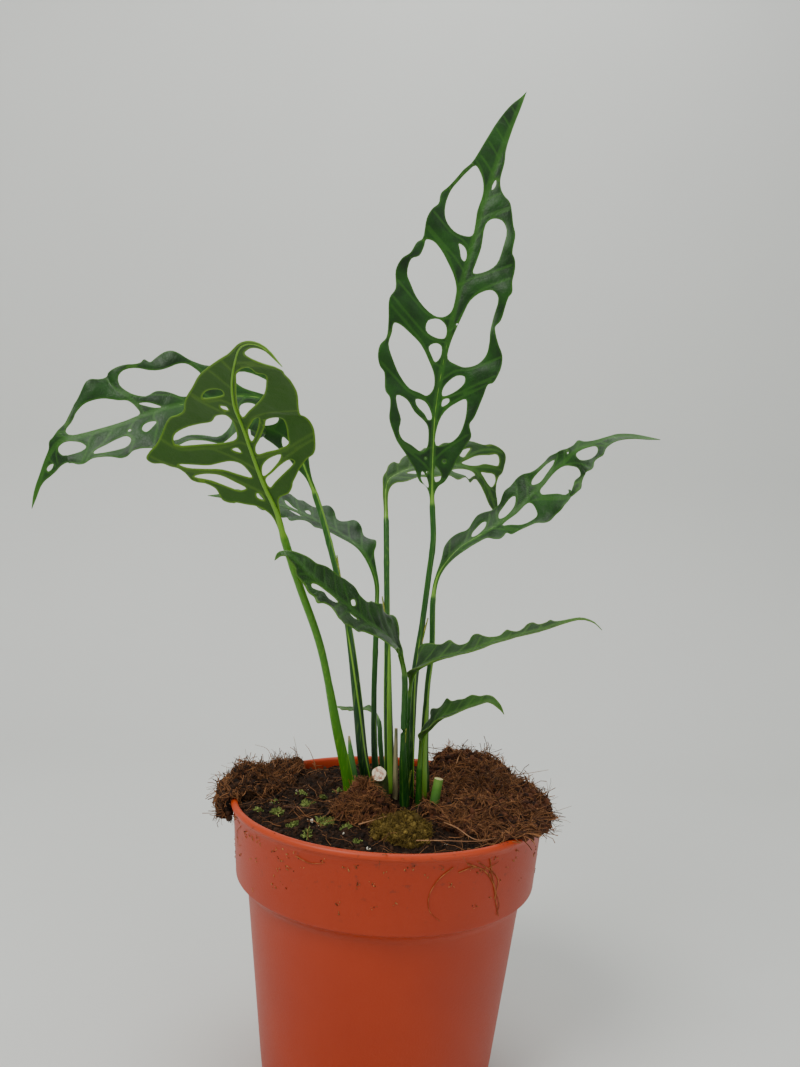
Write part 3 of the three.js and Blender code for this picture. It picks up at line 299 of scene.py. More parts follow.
# The soil is a dark, damp mix of bark, coir and peat with a crumbly top. It is a little lower at
# the back left, and light grains, moss and bits of fibre lie on it.
def soil_height(x, y):
    """Height of the soil's surface, before the fine crumbs."""
    back = max(0.0, (0.85 * y - 0.5 * x) / SOIL_RADIUS)
    waves = 0.5 * math.sin(0.31 * x + 1) * math.cos(0.27 * y)
    waves += 0.35 * math.sin(0.7 * x - 0.5 * y)
    return SOIL_TOP + waves + math.exp(-(x * x + y * y) / 500) - 2.2 * back**1.5


def rough(x, y, scale, seed=0.0):
    """Lumpy noise between about -1 and 1."""
    return noise.fractal(Vector((x * scale, y * scale, seed)), 0.7, 2.1, 5)


def soil_surface(x, y):
    """Soil's surface with its lumps, held down near the pot's wall."""
    away = SOIL_RADIUS - math.hypot(x, y)
    lumps = 0.9 * rough(x, y, 0.16) + 0.55 * rough(x, y, 0.55, 4.0)
    return soil_height(x, y) + lumps * min(1.0, 0.25 + away / 5)


def soil_mix():
    material, tree, surface = new_material("Potting mix")
    bits = grain(tree, 260, 1500, 0.0008)
    shade = ramp(tree, bits["Broad"], 0.35, 0.68)
    colour = mixed(tree, shade, srgb(14, 8, 4), srgb(44, 27, 15))
    warm = ramp(tree, bits["Fine"], 0.6, 0.75)
    colour = mixed(tree, warm, colour, srgb(92, 58, 32))
    feed(tree, surface, {
        "Base Color": colour,
        "Roughness": 0.9,
        "Specular IOR Level": 0.15,
        "Normal": bits["Normal"],
    })
    return material


def polar_body(name, rings, sectors, top, walls, material):
    """Closed body under a surface over polar rings, then down through [radius, z] walls."""
    points = [(0.0, 0.0, top(0.0, 0.0))]
    levels = [(r, None) for r in rings] + list(walls)
    for r, z in levels:
        for k in range(sectors):
            angle = 2 * math.pi * k / sectors
            x, y = r * math.cos(angle), r * math.sin(angle)
            points.append((x, y, top(x, y) if z is None else z))
    faces = [(0, 1 + k, 1 + (k + 1) % sectors) for k in range(sectors)]
    faces += ring_faces(1, len(levels), sectors, True)
    last = 1 + (len(levels) - 1) * sectors
    faces.append([last + k for k in range(sectors)][::-1])
    return mesh_piece(name, points, faces, [material])


SOIL_MIX = soil_mix()
soil_piece = polar_body(
    "soil_bed",
    [SOIL_RADIUS * (i + 1) / 70 for i in range(70)],
    280,
    soil_surface,
    [(55.0, 78.1), (50.4, 72.9), (41.2, 2.3)],
    SOIL_MIX,
)
stands_for(soil_piece, "soil", "soil")


def node_tree(name, inputs):
    """Geometry tree with named inputs, which are a socket type and a value each."""
    tree = bpy.data.node_groups.new(name, "GeometryNodeTree")
    tree.interface.new_socket("Surface", in_out="INPUT", socket_type="NodeSocketGeometry")
    for label, (kind, value) in inputs.items():
        socket = tree.interface.new_socket(label, in_out="INPUT", socket_type=kind)
        if kind != "NodeSocketMaterial":
            socket.default_value = value
    tree.interface.new_socket("Grown", in_out="OUTPUT", socket_type="NodeSocketGeometry")
    return tree, add(tree, "NodeGroupInput").outputs


def ends_in(tree, grown, material):
    """Real geometry with its material as the tree's result."""
    real = add(tree, "GeometryNodeRealizeInstances", {0: grown}).outputs[0]
    coated = add(tree, "GeometryNodeSetMaterial", {"Geometry": real, "Material": material})
    add(tree, "NodeGroupOutput", {"Grown": coated.outputs[0]})


def chance(tree, low, high, seed, kind="FLOAT"):
    """Random value for each point."""
    node = add(tree, "FunctionNodeRandomValue", data_type=kind)
    least, most, result = {"FLOAT": (2, 3, 1), "FLOAT_VECTOR": (0, 1, 0)}[kind]
    feed(tree, node, {least: low, most: high, "Seed": seed})
    return node.outputs[result]


def upward_points(tree, given):
    """Points scattered over the faces that look up more than the limit."""
    normal = add(tree, "GeometryNodeInputNormal").outputs[0]
    up = add(tree, "ShaderNodeSeparateXYZ", {0: normal}).outputs[2]
    chosen = add(tree, "FunctionNodeCompare", {0: up, 1: given["Limit"]}, operation="GREATER_THAN")
    inputs = {
        "Mesh": given["Surface"],
        "Selection": chosen.outputs[0],
        "Density": given["Density"],
        "Seed": given["Seed"],
    }
    return add(tree, "GeometryNodeDistributePointsOnFaces", inputs)


def tinted(tree, things):
    """Instances with a random shade each, kept as an attribute."""
    value = chance(tree, 0.0, 1.0, 77)
    inputs = {"Geometry": things, "Name": "shade", "Value": value}
    return add(tree, "GeometryNodeStoreNamedAttribute", inputs, domain="INSTANCE").outputs[0]


def crumb_tree():
    """Small uneven grains lying on a surface."""
    inputs = {
        "Density": ("NodeSocketFloat", 100000.0),
        "Limit": ("NodeSocketFloat", 0.1),
        "Smallest": ("NodeSocketFloat", 0.0003),
        "Largest": ("NodeSocketFloat", 0.001),
        "Seed": ("NodeSocketInt", 1),
        "Material": ("NodeSocketMaterial", None),
    }
    tree, given = node_tree("Crumbs", inputs)
    spots = upward_points(tree, given)
    grain_mesh = add(tree, "GeometryNodeMeshIcoSphere", {"Radius": 1.0, "Subdivisions": 1})
    spin = chance(tree, (0, 0, 0), (6.28, 6.28, 6.28), 5, "FLOAT_VECTOR")
    shape = chance(tree, (0.6, 0.5, 0.35), (1.3, 1.0, 0.9), 6, "FLOAT_VECTOR")
    size = chance(tree, 0.0, 1.0, 7)
    size = add(tree, "ShaderNodeMath", {0: size, 1: 3.0}, operation="POWER").outputs[0]
    span = {"Value": size, "To Min": given["Smallest"], "To Max": given["Largest"]}
    size = add(tree, "ShaderNodeMapRange", span).outputs[0]
    scale = add(tree, "ShaderNodeVectorMath", {0: shape, "Scale": size}, operation="SCALE")
    inputs = {
        "Points": spots.outputs[0],
        "Instance": grain_mesh.outputs[0],
        "Rotation": spin,
        "Scale": scale.outputs[0],
    }
    things = add(tree, "GeometryNodeInstanceOnPoints", inputs).outputs[0]
    ends_in(tree, tinted(tree, things), given["Material"])
    return tree


def fibre_tree():
    """Thin bent fibres lying on a surface, tapering to their ends."""
    inputs = {
        "Density": ("NodeSocketFloat", 100000.0),
        "Limit": ("NodeSocketFloat", 0.1),
        "Shortest": ("NodeSocketFloat", 0.004),
        "Longest": ("NodeSocketFloat", 0.02),
        "Thickness": ("NodeSocketFloat", 0.0002),
        "Curl": ("NodeSocketFloat", 0.006),
        "Curl scale": ("NodeSocketFloat", 120.0),
        "Tilt": ("NodeSocketFloat", 0.4),
        "Seed": ("NodeSocketInt", 1),
        "Material": ("NodeSocketMaterial", None),
    }
    tree, given = node_tree("Fibres", inputs)
    spots = upward_points(tree, given)
    line = add(tree, "GeometryNodeCurvePrimitiveLine", {"Start": (-0.5, 0, 0), "End": (0.5, 0, 0)})
    fine = add(tree, "GeometryNodeResampleCurve", {"Curve": line.outputs[0], "Count": 8})
    tilt = {0: chance(tree, -1.0, 1.0, 11), 1: given["Tilt"]}
    tilt = add(tree, "ShaderNodeMath", tilt, operation="MULTIPLY").outputs[0]
    spin = {"Y": tilt, "Z": chance(tree, 0.0, 6.283, 12)}
    spin = add(tree, "ShaderNodeCombineXYZ", spin).outputs[0]
    spin = add(tree, "FunctionNodeEulerToRotation", {0: spin}).outputs[0]
    turned = {"Rotation": spots.outputs["Rotation"], "Rotate By": spin}
    turned = add(tree, "FunctionNodeRotateRotation", turned, rotation_space="LOCAL").outputs[0]
    inputs = {
        "Points": spots.outputs[0],
        "Instance": fine.outputs[0],
        "Rotation": turned,
        "Scale": chance(tree, given["Shortest"], given["Longest"], 13),
    }
    things = add(tree, "GeometryNodeInstanceOnPoints", inputs).outputs[0]
    real = add(tree, "GeometryNodeRealizeInstances", {0: tinted(tree, things)}).outputs[0]
    waves = add(tree, "ShaderNodeTexNoise", {"Scale": given["Curl scale"], "Detail": 1.0})
    shift = {0: waves.outputs["Color"], 1: (0.5, 0.5, 0.42)}
    shift = add(tree, "ShaderNodeVectorMath", shift, operation="SUBTRACT").outputs[0]
    shift = {0: shift, "Scale": given["Curl"]}
    shift = add(tree, "ShaderNodeVectorMath", shift, operation="SCALE").outputs[0]
    bent = add(tree, "GeometryNodeSetPosition", {"Geometry": real, "Offset": shift}).outputs[0]
    share = add(tree, "GeometryNodeSplineParameter").outputs["Factor"]
    taper = {"Value": share, "From Min": 0.0, "From Max": 1.0, "To Min": 1.0, "To Max": 0.35}
    taper = add(tree, "ShaderNodeMapRange", taper).outputs[0]
    thick = {0: taper, 1: given["Thickness"]}
    thick = add(tree, "ShaderNodeMath", thick, operation="MULTIPLY").outputs[0]
    ring = add(tree, "GeometryNodeCurvePrimitiveCircle", {"Resolution": 3, "Radius": 1.0})
    tubes = {"Curve": bent, "Profile Curve": ring.outputs[0], "Scale": thick}
    tubes = add(tree, "GeometryNodeCurveToMesh", tubes).outputs[0]
    ends_in(tree, tubes, given["Material"])
    return tree


CRUMBS = crumb_tree()
FIBRES = fibre_tree()


def grow(name, surface, tree, values):
    """Plain mesh that a geometry tree makes on a copy of a surface."""
    base = new_object(name + "_base", surface.data.copy())
    modifier = base.modifiers.new("Grow", "NODES")
    modifier.node_group = tree
    for item in tree.interface.items_tree:
        if item.name in values:
            modifier[item.identifier] = values[item.name]
    base.update_tag()
    state = bpy.context.evaluated_depsgraph_get()
    mesh = bpy.data.meshes.new_from_object(base.evaluated_get(state), depsgraph=state)
    base.modifiers.remove(modifier)
    bpy.data.objects.remove(base)
    mesh.name = name
    mesh.shade_smooth()
    return new_object(name, mesh)


def shaded(name, dark, light, roughness, specks=None):
    """Material that goes from dark to light with each thing's own shade."""
    material, tree, surface = new_material(name)
    shade = add(tree, "ShaderNodeAttribute", attribute_name="shade").outputs["Fac"]
    bits = grain(tree, 500, 2500, 0.0003)
    colour = mixed(tree, shade, dark, light)
    if specks:
        colour = mixed(tree, ramp(tree, bits["Broad"], 0.55, 0.66), colour, specks)
    else:
        dim = mixed(tree, bits["Broad"], (0.6, 0.6, 0.6, 1), (1.25, 1.25, 1.25, 1))
        inputs = {0: 1.0, 6: colour, 7: dim}
        node = add(tree, "ShaderNodeMix", inputs, data_type="RGBA", blend_type="MULTIPLY")
        colour = node.outputs[2]
    feed(tree, surface, {
        "Base Color": colour,
        "Roughness": roughness,
        "Specular IOR Level": 0.2,
        "Normal": bits["Normal"],
    })
    return material


CRUMB_SKIN = shaded("Crumbs", srgb(10, 6, 4), srgb(66, 43, 26), 0.85)
COIR_SKIN = shaded("Coir fibre", srgb(46, 22, 11), srgb(164, 112, 70), 0.7)
COIR_CRUMB_SKIN = shaded("Coir crumbs", srgb(20, 10, 5), srgb(98, 58, 36), 0.85)
MOSS_SKIN = shaded("Olive moss", srgb(64, 50, 16), srgb(134, 112, 50), 0.8)
GREEN_MOSS_SKIN = shaded("Green moss", srgb(72, 90, 34), srgb(160, 176, 96), 0.8)
PERLITE_SKIN = shaded("Perlite", srgb(176, 160, 134), srgb(226, 220, 206), 0.8)

soil_crumbs = grow("soil_crumbs", soil_piece, CRUMBS, {
    "Density": 560000.0,
    "Smallest": 0.0003,
    "Largest": 0.0014,
    "Seed": 3,
    "Material": CRUMB_SKIN,
})
stands_for(soil_crumbs, "soil")
soil_fibres = grow("soil_fibres", soil_piece, FIBRES, {
    "Density": 42000.0,
    "Shortest": 0.004,
    "Longest": 0.017,
    "Thickness": 0.00016,
    "Curl": 0.006,
    "Curl scale": 130.0,
    "Tilt": 0.35,
    "Seed": 8,
    "Material": COIR_SKIN,
})
stands_for(soil_fibres, "coir")


# Clumps of red-brown coir fibre lie on the soil: a wide heap over the right and the rear rim, a
# tuft over the left rim and a round lump in front. An olive moss lump lies before them.
def bumps(x, y, lobes):
    """Sum of rounded rises, each centre, reach and height."""
    return sum(h * math.exp(-(((x - a) / rx) ** 2) - ((y - b) / ry) ** 2) for a, b, rx, ry, h in lobes)


RIM_INSIDE = 56.5
RIM_OUTSIDE = 60.4
RIM_TOP = 105.1
HEAPS = {
    "coir_mound_right": {
        "centre": (36, 2), "turn": 0.15, "reach": (25, 44), "floor": 105.3, "lump": 1.9,
        "lobes": [(36, 40, 18, 13, 9), (50, 4, 14, 20, 5.5), (34, 14, 16, 18, 2.5), (34, -14, 13, 14, 3),
                  (22, 44, 9, 8, 4)],
    },
    "coir_tuft_left": {
        "centre": (-52, 16), "turn": -0.3, "reach": (11, 30), "floor": 97, "lump": 1.9,
        "lobes": [(-57, 9, 8, 10, 9), (-46, 34, 9, 9, 3.5), (-58, -8, 8, 9, 4)],
    },
    "coir_clump_front": {
        "centre": (-9, -21), "turn": 0.0, "reach": (10, 9), "floor": 105.3, "lump": 0.7,
        "lobes": [(-9.5, -19, 6.5, 5.5, 9.5), (-13, -23, 5, 4, 4), (-4, -21, 4.5, 4.5, 3.5)],
    },
    "moss_clump_front": {
        "centre": (5, -36), "turn": 0.0, "reach": (10, 12), "floor": 105.3, "lump": 0.7,
        "lobes": [(6, -32, 7, 7, 5), (3, -42, 6, 5, 2.5)],
    },
}


def heap_piece(name, heap, material):
    """Heap as a closed body that rests on the soil and on the pot's rim."""
    cx, cy = heap["centre"]
    rx, ry = heap["reach"]
    cos, sin = math.cos(heap["turn"]), math.sin(heap["turn"])

    def under(x, y):
        spread = math.hypot(x, y)
        if spread < RIM_INSIDE:
            return soil_height(x, y) - 0.8
        return RIM_TOP if spread < RIM_OUTSIDE or heap["floor"] > 100 else heap["floor"]

    def over(x, y):
        fine = heap["lump"] * (0.5 * rough(x, y, 0.22, 9.0) + 0.6 * rough(x, y, 0.7, 2.0))
        height = soil_height(x, y) + 0.4 + bumps(x, y, heap["lobes"]) + fine
        return max(under(x, y) + 0.3, height)

    count, sectors = 36, 120
    points = [(cx, cy, over(cx, cy))]
    for side in (over, under):
        for i in range(1, count + 1):
            share = i / count
            for k in range(sectors):
                angle = 2 * math.pi * k / sectors
                ragged = 1 + 0.05 * rough(3 * math.cos(angle), 3 * math.sin(angle), 1.0, 7.0) * share
                u = rx * share * ragged * math.cos(angle)
                v = ry * share * ragged * math.sin(angle)
                x, y = cx + u * cos - v * sin, cy + u * sin + v * cos
                points.append((x, y, side(x, y)))
    points.append((cx, cy, under(cx, cy)))
    low = 1 + count * sectors
    faces = []
    for k in range(sectors):
        after = (k + 1) % sectors
        faces.append((0, 1 + k, 1 + after))
        faces.append((len(points) - 1, low + after, low + k))
        for i in range(count - 1):
            a, b = 1 + i * sectors + k, 1 + i * sectors + after
            faces.append((a, a + sectors, b + sectors, b))
            a, b = low + i * sectors + k, low + i * sectors + after
            faces.append((a, b, b + sectors, a + sectors))
        edge = (count - 1) * sectors
        faces.append((1 + edge + k, low + edge + k, low + edge + after, 1 + edge + after))
    return mesh_piece(name, points, faces, [material])


def mottled(name, dark, light, grains=(420, 1800, 0.0007), high=0.7, roughness=0.9, specular=0.15):
    """Material in soft patches of two colours."""
    material, tree, surface = new_material(name)
    bits = grain(tree, *grains)
    feed(tree, surface, {
        "Base Color": mixed(tree, ramp(tree, bits["Broad"], 0.35, high), dark, light),
        "Roughness": roughness,
        "Specular IOR Level": specular,
        "Normal": bits["Normal"],
    })
    return material


COIR_CORE = mottled("Packed coir", srgb(22, 9, 4), srgb(78, 40, 20))
MOSS_CORE = mottled("Packed moss", srgb(36, 26, 9), srgb(96, 76, 28))
# Each row: slot, core, fibre skin, fibres to the square metre, shortest and longest fibre,
# thickness, curl, tilt, crumbs to the square metre and crumb skin.
COATS = {
    "coir_mound_right": (
        "coir", COIR_CORE, COIR_SKIN, 480000.0, 0.003, 0.016, 0.00017, 0.007, 0.3, 900000.0, COIR_CRUMB_SKIN,
    ),
    "coir_tuft_left": (
        "coir", COIR_CORE, COIR_SKIN, 600000.0, 0.003, 0.014, 0.00016, 0.007, 0.3, 1000000.0, CRUMB_SKIN,
    ),
    "coir_clump_front": (
        "coir", COIR_CORE, COIR_SKIN, 2600000.0, 0.003, 0.010, 0.00014, 0.005, 0.35,
        900000.0, COIR_CRUMB_SKIN,
    ),
    "moss_clump_front": (
        "moss", MOSS_CORE, MOSS_SKIN, 4200000.0, 0.0015, 0.005, 0.00014, 0.004, 0.8, 500000.0, MOSS_SKIN,
    ),
}
for name, row in COATS.items():
    slot, core, skin, density, short, long, thick, curl, tilt, crumb_density, crumb_skin = row
    body = heap_piece(name + "_core", HEAPS[name], core)
    stands_for(body, slot, name)
    fibres = grow(name + "_fibres", body, FIBRES, {
        "Density": density,
        "Limit": -0.5,
        "Shortest": short,
        "Longest": long,
        "Thickness": thick,
        "Curl": curl,
        "Curl scale": 160.0,
        "Tilt": tilt,
        "Seed": 21,
        "Material": skin,
    })
    stands_for(fibres, slot)
    crumbs = grow(name + "_crumbs", body, CRUMBS, {
        "Density": crumb_density,
        "Limit": -0.5,
        "Smallest": 0.0004,
        "Largest": 0.0019,
        "Seed": 14,
        "Material": crumb_skin,
    })
    stands_for(crumbs, slot)


# Ten leaves rise from one crown. Each is a petiole, sheathed near its foot, and a thin blade
# with oval windows: dark and satin above, paler below, one of them young and yellow-green. In
# each table petiole and rib are the centre line, in millimetres. face turns the upper side as
# (share of blade length, x, y, z), fold raises the halves in degrees, and wave is the margin's
# ruffle as (height, length, phase). groove is where the petiole's channel faces. plus and minus
# are the margins, holes the windows and pins the tiny holes of the flat blade.
LEAVES = {
    "leaf_tall": {
        "petiole": [
            (8, 2.5, 93), (8, 2.5, 107), (7.5, -0.5, 126), (7.5, -1, 150), (9.5, -1, 173), (11, 0, 191),
            (12, 0, 205), (11, 0, 218),
        ],
        "rib": [
            (10.5, 0, 225.5), (10, -3, 238), (10, -6, 254.5), (12, -9, 273.5), (15, -11, 292),
            (19, -12, 310.5), (24, -11, 333.5), (29, -8, 352), (34.5, -4, 368.5), (39, 0, 381),
        ],
        "face": [
            (0, 0, -1, 0.1), (1, 0, -1, 0.1),
        ],
        "groove": (1, 0.2, 0),
        "radius": (2.2, 1.15),
        "sheath": 0.62,
        "fold": (10, 10),
        "wave": (1.4, 17, 1.2),
        "half": 24,
        "plus": [
            (0, 0.9), (5, 1), (8, 2.5), (10, 5), (15, 7.7), (20, 10), (25, 13), (28, 14.5), (33, 13.5),
            (36, 15), (45, 17.3), (50, 18.3), (51, 20), (55, 21.5), (58, 22), (62, 21.5), (66, 19),
            (70, 17), (72, 16.5), (75, 18), (84, 18.5), (86, 19.3), (90, 18.3), (95, 18), (98, 17),
            (100, 15.5), (107, 14.8), (111, 13), (115, 11.5), (119, 9.5), (121, 7), (123, 5.2),
            (127, 3.5), (135, 2.8), (140, 1.7), (150, 0.9), (160, 0.6),
        ],
        "minus": [
            (0, -0.9), (5, -1.2), (8, -2.5), (10, -5), (15, -7), (18, -9), (21, -11), (25, -14),
            (28, -15.5), (33, -17.5), (37, -17.5), (40, -18), (42, -20), (48, -21.5), (50, -23.5),
            (53, -24.7), (57, -24.7), (60, -23), (66, -23.5), (73, -24.7), (77, -23.5), (83, -25.2),
            (87, -24), (90, -21.5), (95, -20.3), (97, -18.7), (104, -19), (108, -18), (111, -16.3),
            (115, -16.5), (118, -14.5), (122, -12.5), (126, -11), (130, -9), (140, -7), (150, -5.6),
            (160, -3.2), (165, -1.2),
        ],
        "holes": [
            [(9.8, 1.2), (10.5, 3), (13, 3.4), (16, 1.2)],
            [
                (24, 1.1), (25, 6), (28, 9.5), (33, 11.3), (39, 11.8), (43, 11), (41, 7.5), (37, 3.5),
                (31, 1.2),
            ],
            [(39, 2.3), (41, 4.8), (42.3, 4.5), (41.5, 2.3)],
            [(43, 2), (45, 6), (49, 9.3), (51.5, 9), (51.3, 6), (48, 2.8), (45, 1.6)],
            [
                (55, 8.5), (57, 13), (61, 15.5), (66, 15.6), (70, 15), (76, 15), (83, 14.9), (85.3, 12),
                (84, 8.5), (80, 5), (74, 3.5), (68, 2.2), (62, 1.2), (57, 1.5), (55.5, 5),
            ],
            [
                (90, 3.2), (91.5, 7.5), (95, 10.8), (101, 11.5), (108, 11.2), (111.5, 8.5), (111.5, 5),
                (109, 3), (100, 3.6), (94, 3.2),
            ],
            [(122.5, 1.6), (124.5, 2.4), (127, 1.8), (124.5, 1.2)],
            [(7.5, -1.5), (9, -3.3), (11.5, -4.5), (14, -4), (11, -2)],
            [
                (21.5, -4.5), (23, -2.5), (27, -2), (31, -2.5), (33, -4), (36, -8), (40, -11.5),
                (41, -15.5), (37, -14.6), (33, -13), (29, -13.5), (26, -12), (24, -8.5),
            ],
            [(34, -1.2), (37, -2), (40, -4.5), (40.5, -8), (38.5, -7.5), (35.5, -4), (33.5, -2.5)],
            [
                (42.3, -4), (45, -2), (50, -2.5), (55, -5.5), (60, -9.5), (63, -14), (65.5, -19),
                (65.5, -21.2), (62, -21.3), (58, -21.6), (53, -19), (48, -15.5), (44, -11), (43, -7),
            ],
            [(55, -3), (57, -1.5), (61, -1.8), (61.8, -4), (60, -6.5), (57, -4.8)],
            [(64.2, -1.4), (66.5, -1), (69, -2), (70.5, -5), (69, -8.8), (65.5, -8.8), (63.8, -5)],
            [
                (72, -3), (74.5, -1), (80, -0.9), (83, -1.4), (87, -3.5), (91, -7), (95, -11),
                (97.2, -14.5), (97, -17.2), (94, -17.3), (90, -18), (88, -20.5), (83, -20.7),
                (80, -18.5), (76, -15), (72.5, -10), (71.2, -6),
            ],
            [(93.5, -1.2), (96, -1), (98.5, -2.5), (99.2, -5), (97, -4), (94, -2.5)],
            [
                (102.5, -4), (103.5, -1), (108, -0.9), (113, -1.5), (120, -1.3), (125, -2.8),
                (128.5, -5.5), (129.5, -7.3), (126, -9.3), (121, -11.5), (117, -13.2), (111, -13.6),
                (106, -12), (103, -8),
            ],
        ],
        "pins": [(18, 4.5, 0.7), (70.2, 2.2, 0.4), (13.5, -2, 0.5), (19, -2.8, 0.4)],
    },
    "leaf_far_left": {
        "petiole": [
            (-8, 1.5, 93), (-8, 1.5, 106), (-11, 2.5, 120), (-14.5, 4, 142), (-20, 8, 171),
            (-29, 12, 201), (-36, 14, 220.5),
        ],
        "rib": [
            (-47.5, 14, 246.5), (-50.5, 12, 253.5), (-56, 8, 257), (-66.5, 4, 257.5), (-86.5, -4, 252),
            (-98.5, -7, 247.5), (-107, -9, 243), (-116, -10, 239.5), (-123.5, -10, 237),
            (-130, -10, 235), (-135.5, -8, 228.5), (-139, -6, 219.5), (-142.5, -4, 209),
        ],
        "face": [
            (0, -0.5, -0.8, 0.2), (0.2, -0.2, -0.85, 0.45), (0.6, 0, -0.8, 0.55), (1, -0.3, -0.8, 0.3),
        ],
        "groove": (1, 0, 0),
        "radius": (2.5, 1.3),
        "sheath": 0.6,
        "fold": (-5, 20),
        "wave": (1.5, 18, 0.8),
        "half": 22,
        "plus": [
            (0, 0.9), (8, 1.5), (14, 3), (20, 5.5), (26, 6.5), (32, 5), (38, 6), (44, 9), (50, 12),
            (56, 13.5), (62, 14), (65, 15), (68, 16.5), (71, 18), (74, 20.5), (77, 22.5), (80, 23.3),
            (83, 22.5), (85, 21.2), (86.5, 22.5), (88, 21), (90, 20.5), (92, 21), (95, 21.7),
            (99, 22.3), (103, 21), (106, 20.3), (109, 20.3), (112, 19), (115, 16.5), (118, 13.5),
            (120, 11.8), (121.5, 9), (123, 6), (125, 4.4), (127, 3.4), (129, 3.3), (131, 1.8),
            (135, 1.1), (140, 1), (145, 1.2), (150, 1),
        ],
        "minus": [
            (0, -0.9), (8, -1.5), (14, -4), (20, -6), (26, -9), (31, -13), (36, -16), (42, -15),
            (48, -16), (54, -15.5), (60, -17), (66, -19.5), (70, -20.8), (76, -19.3), (80, -17.5),
            (86, -17.5), (92, -17), (95, -16.5), (97, -15), (99, -13.5), (101, -13), (103, -14.2),
            (105, -14.3), (108, -12.8), (111, -12), (114, -11.5), (117, -12.3), (119, -12),
            (121, -10.8), (125, -10.5), (129, -9), (133, -7.2), (137, -5.7), (140, -4), (143, -1.9),
            (146, -0.9), (150, -0.6),
        ],
        "holes": [
            [(16, 1.4), (20, 3.2), (26, 4.2), (30, 3.4), (26, 1.6)],
            [(39, 2), (43, 6), (49, 9.2), (55, 10.2), (57, 7), (54, 3.5), (46, 1.8)],
            [
                (68, 11.5), (70, 14.5), (72, 16), (75, 16.5), (80, 16.5), (86, 17.5), (89, 18.7),
                (93, 19.3), (95.3, 18), (96, 15), (95, 12), (93, 9), (90, 7), (86, 8), (83, 7), (80, 5),
                (78, 3.5), (75, 3), (71, 5), (68.5, 8),
            ],
            [(86, 1.1), (88, 1.4), (91, 3.2), (93, 5.2), (90.5, 4.6), (87.5, 2.6)],
            [
                (94.2, 1.2), (94.3, 4), (96, 8), (100, 10), (105, 12), (110, 12.3), (115, 11.8),
                (118.6, 9.2), (121, 6), (123, 3.2), (122, 1.4), (117, 1), (110, 0.9), (103, 0.9),
                (98, 0.9),
            ],
            [(14, -1.6), (19, -4), (24, -5.5), (27, -4), (23, -2), (18, -1.4)],
            [(33, -4), (32.5, -8), (35, -13), (39, -13.2), (43, -12.5), (46, -8), (43, -4), (37, -2.5)],
            [(49, -4), (50.5, -10), (54, -13), (57, -11), (56.5, -5), (53, -3)],
            [
                (60.5, -6), (61.5, -11), (64, -14.8), (70, -17.8), (75, -16.8), (80, -15), (85, -15),
                (88, -12.5), (86, -8), (82, -5), (75, -3.6), (66, -3.4),
            ],
            [(89.5, -4.8), (92, -6.8), (95, -7.8), (96, -6), (95, -4.3), (92, -3.8)],
            [
                (100.5, -8), (101.5, -5.8), (105, -5.8), (109, -7), (113, -8.3), (113.4, -9.4),
                (111, -10.2), (106, -10.5), (102, -10.2),
            ],
            [
                (116, -5.5), (118, -2.8), (121, -1.5), (125, -1.1), (128, -1.4), (128.7, -3),
                (127.5, -5.8), (124, -7.2), (120, -7), (117, -6.4),
            ],
            [(134.6, -3.6), (136, -2), (138.3, -1.2), (138.8, -2.2), (137, -3.6)],
        ],
        "pins": [(100, -3.9, 0.6)],
    },
    "leaf_near_left": {
        "petiole": [
            (-14.5, -8, 93), (-14.5, -8, 106), (-21, -14, 135), (-27.5, -24, 165), (-35, -34, 187),
            (-40, -42, 203),
        ],
        "rib": [
            (-42.5, -46, 212), (-46.5, -52, 221), (-49.5, -60, 230.5), (-51.5, -68, 238),
            (-52.5, -76, 242.5), (-51.5, -86, 248), (-49, -95, 252.5), (-46.5, -102, 254.5),
            (-42.5, -108, 254.5), (-38, -112, 252.5), (-33, -115, 247.5),
        ],
        "face": [
            (0, 0.1, 0.85, 0.5), (0.7, 0.1, 0.6, 0.8), (1, 0.1, 0.6, 0.8),
        ],
        "groove": (1, 0.3, 0),
        "radius": (2.4, 1.4),
        "sheath": 0.5,
        "fold": (0, 0),
        "wave": (1.2, 21, 0.5),
        "half": 30,
        "plus": [
            (0, 1), (5, 1.3), (9, 2.2), (12, 4), (14, 6), (15.5, 9), (17, 12), (17.5, 14.5), (19, 16.5),
            (22, 17), (24, 20), (24.5, 22.5), (25.5, 24.5), (28, 25.5), (30, 27), (31, 29), (32.5, 31),
            (33, 34.5), (35, 35.8), (37, 34), (39, 31), (42, 28), (45, 25.5), (48, 22.5), (49, 20),
            (51, 17), (55, 15), (60, 12), (65, 9.8), (70, 6.8), (75, 4), (78, 2.5), (82, 1.4), (88, 1),
            (96, 0.8),
        ],
        "minus": [
            (0, -1), (5, -1), (9, -1), (12, -1.6), (15, -3), (16, -7), (18, -9), (20, -10), (23, -12),
            (26, -14), (30, -17.5), (32, -20), (35, -21.5), (42, -22.5), (46, -22), (50, -20.8),
            (60, -20), (70, -18.8), (74, -17.5), (77, -16), (79, -14), (82, -12.8), (83, -11),
            (81, -8.5), (80.5, -5), (81.5, -2.2), (86, -1.8), (92, -1.6), (98, -1.1),
        ],
        "holes": [
            [
                (38.8, 24.5), (38.3, 15), (38.4, 8), (39.8, 3.5), (44, 2.5), (48, 2.8), (50, 4),
                (49.5, 7), (46.7, 9.5), (45.5, 14), (43.6, 20), (41.3, 24),
            ],
            [(34.3, 3.5), (35.7, 6.2), (36.3, 4.2)],
            [
                (24.5, 3), (27.5, 3.6), (30, 5), (31.3, 8), (30.9, 12), (30.3, 16), (31, 21),
                (31.6, 26), (30, 24), (29, 18), (28.3, 12), (26, 7),
            ],
            [
                (21, 6.5), (23.6, 9.5), (26.3, 13.5), (27.2, 19), (26.4, 23), (24.8, 17.5), (22.5, 13),
                (20.6, 9),
            ],
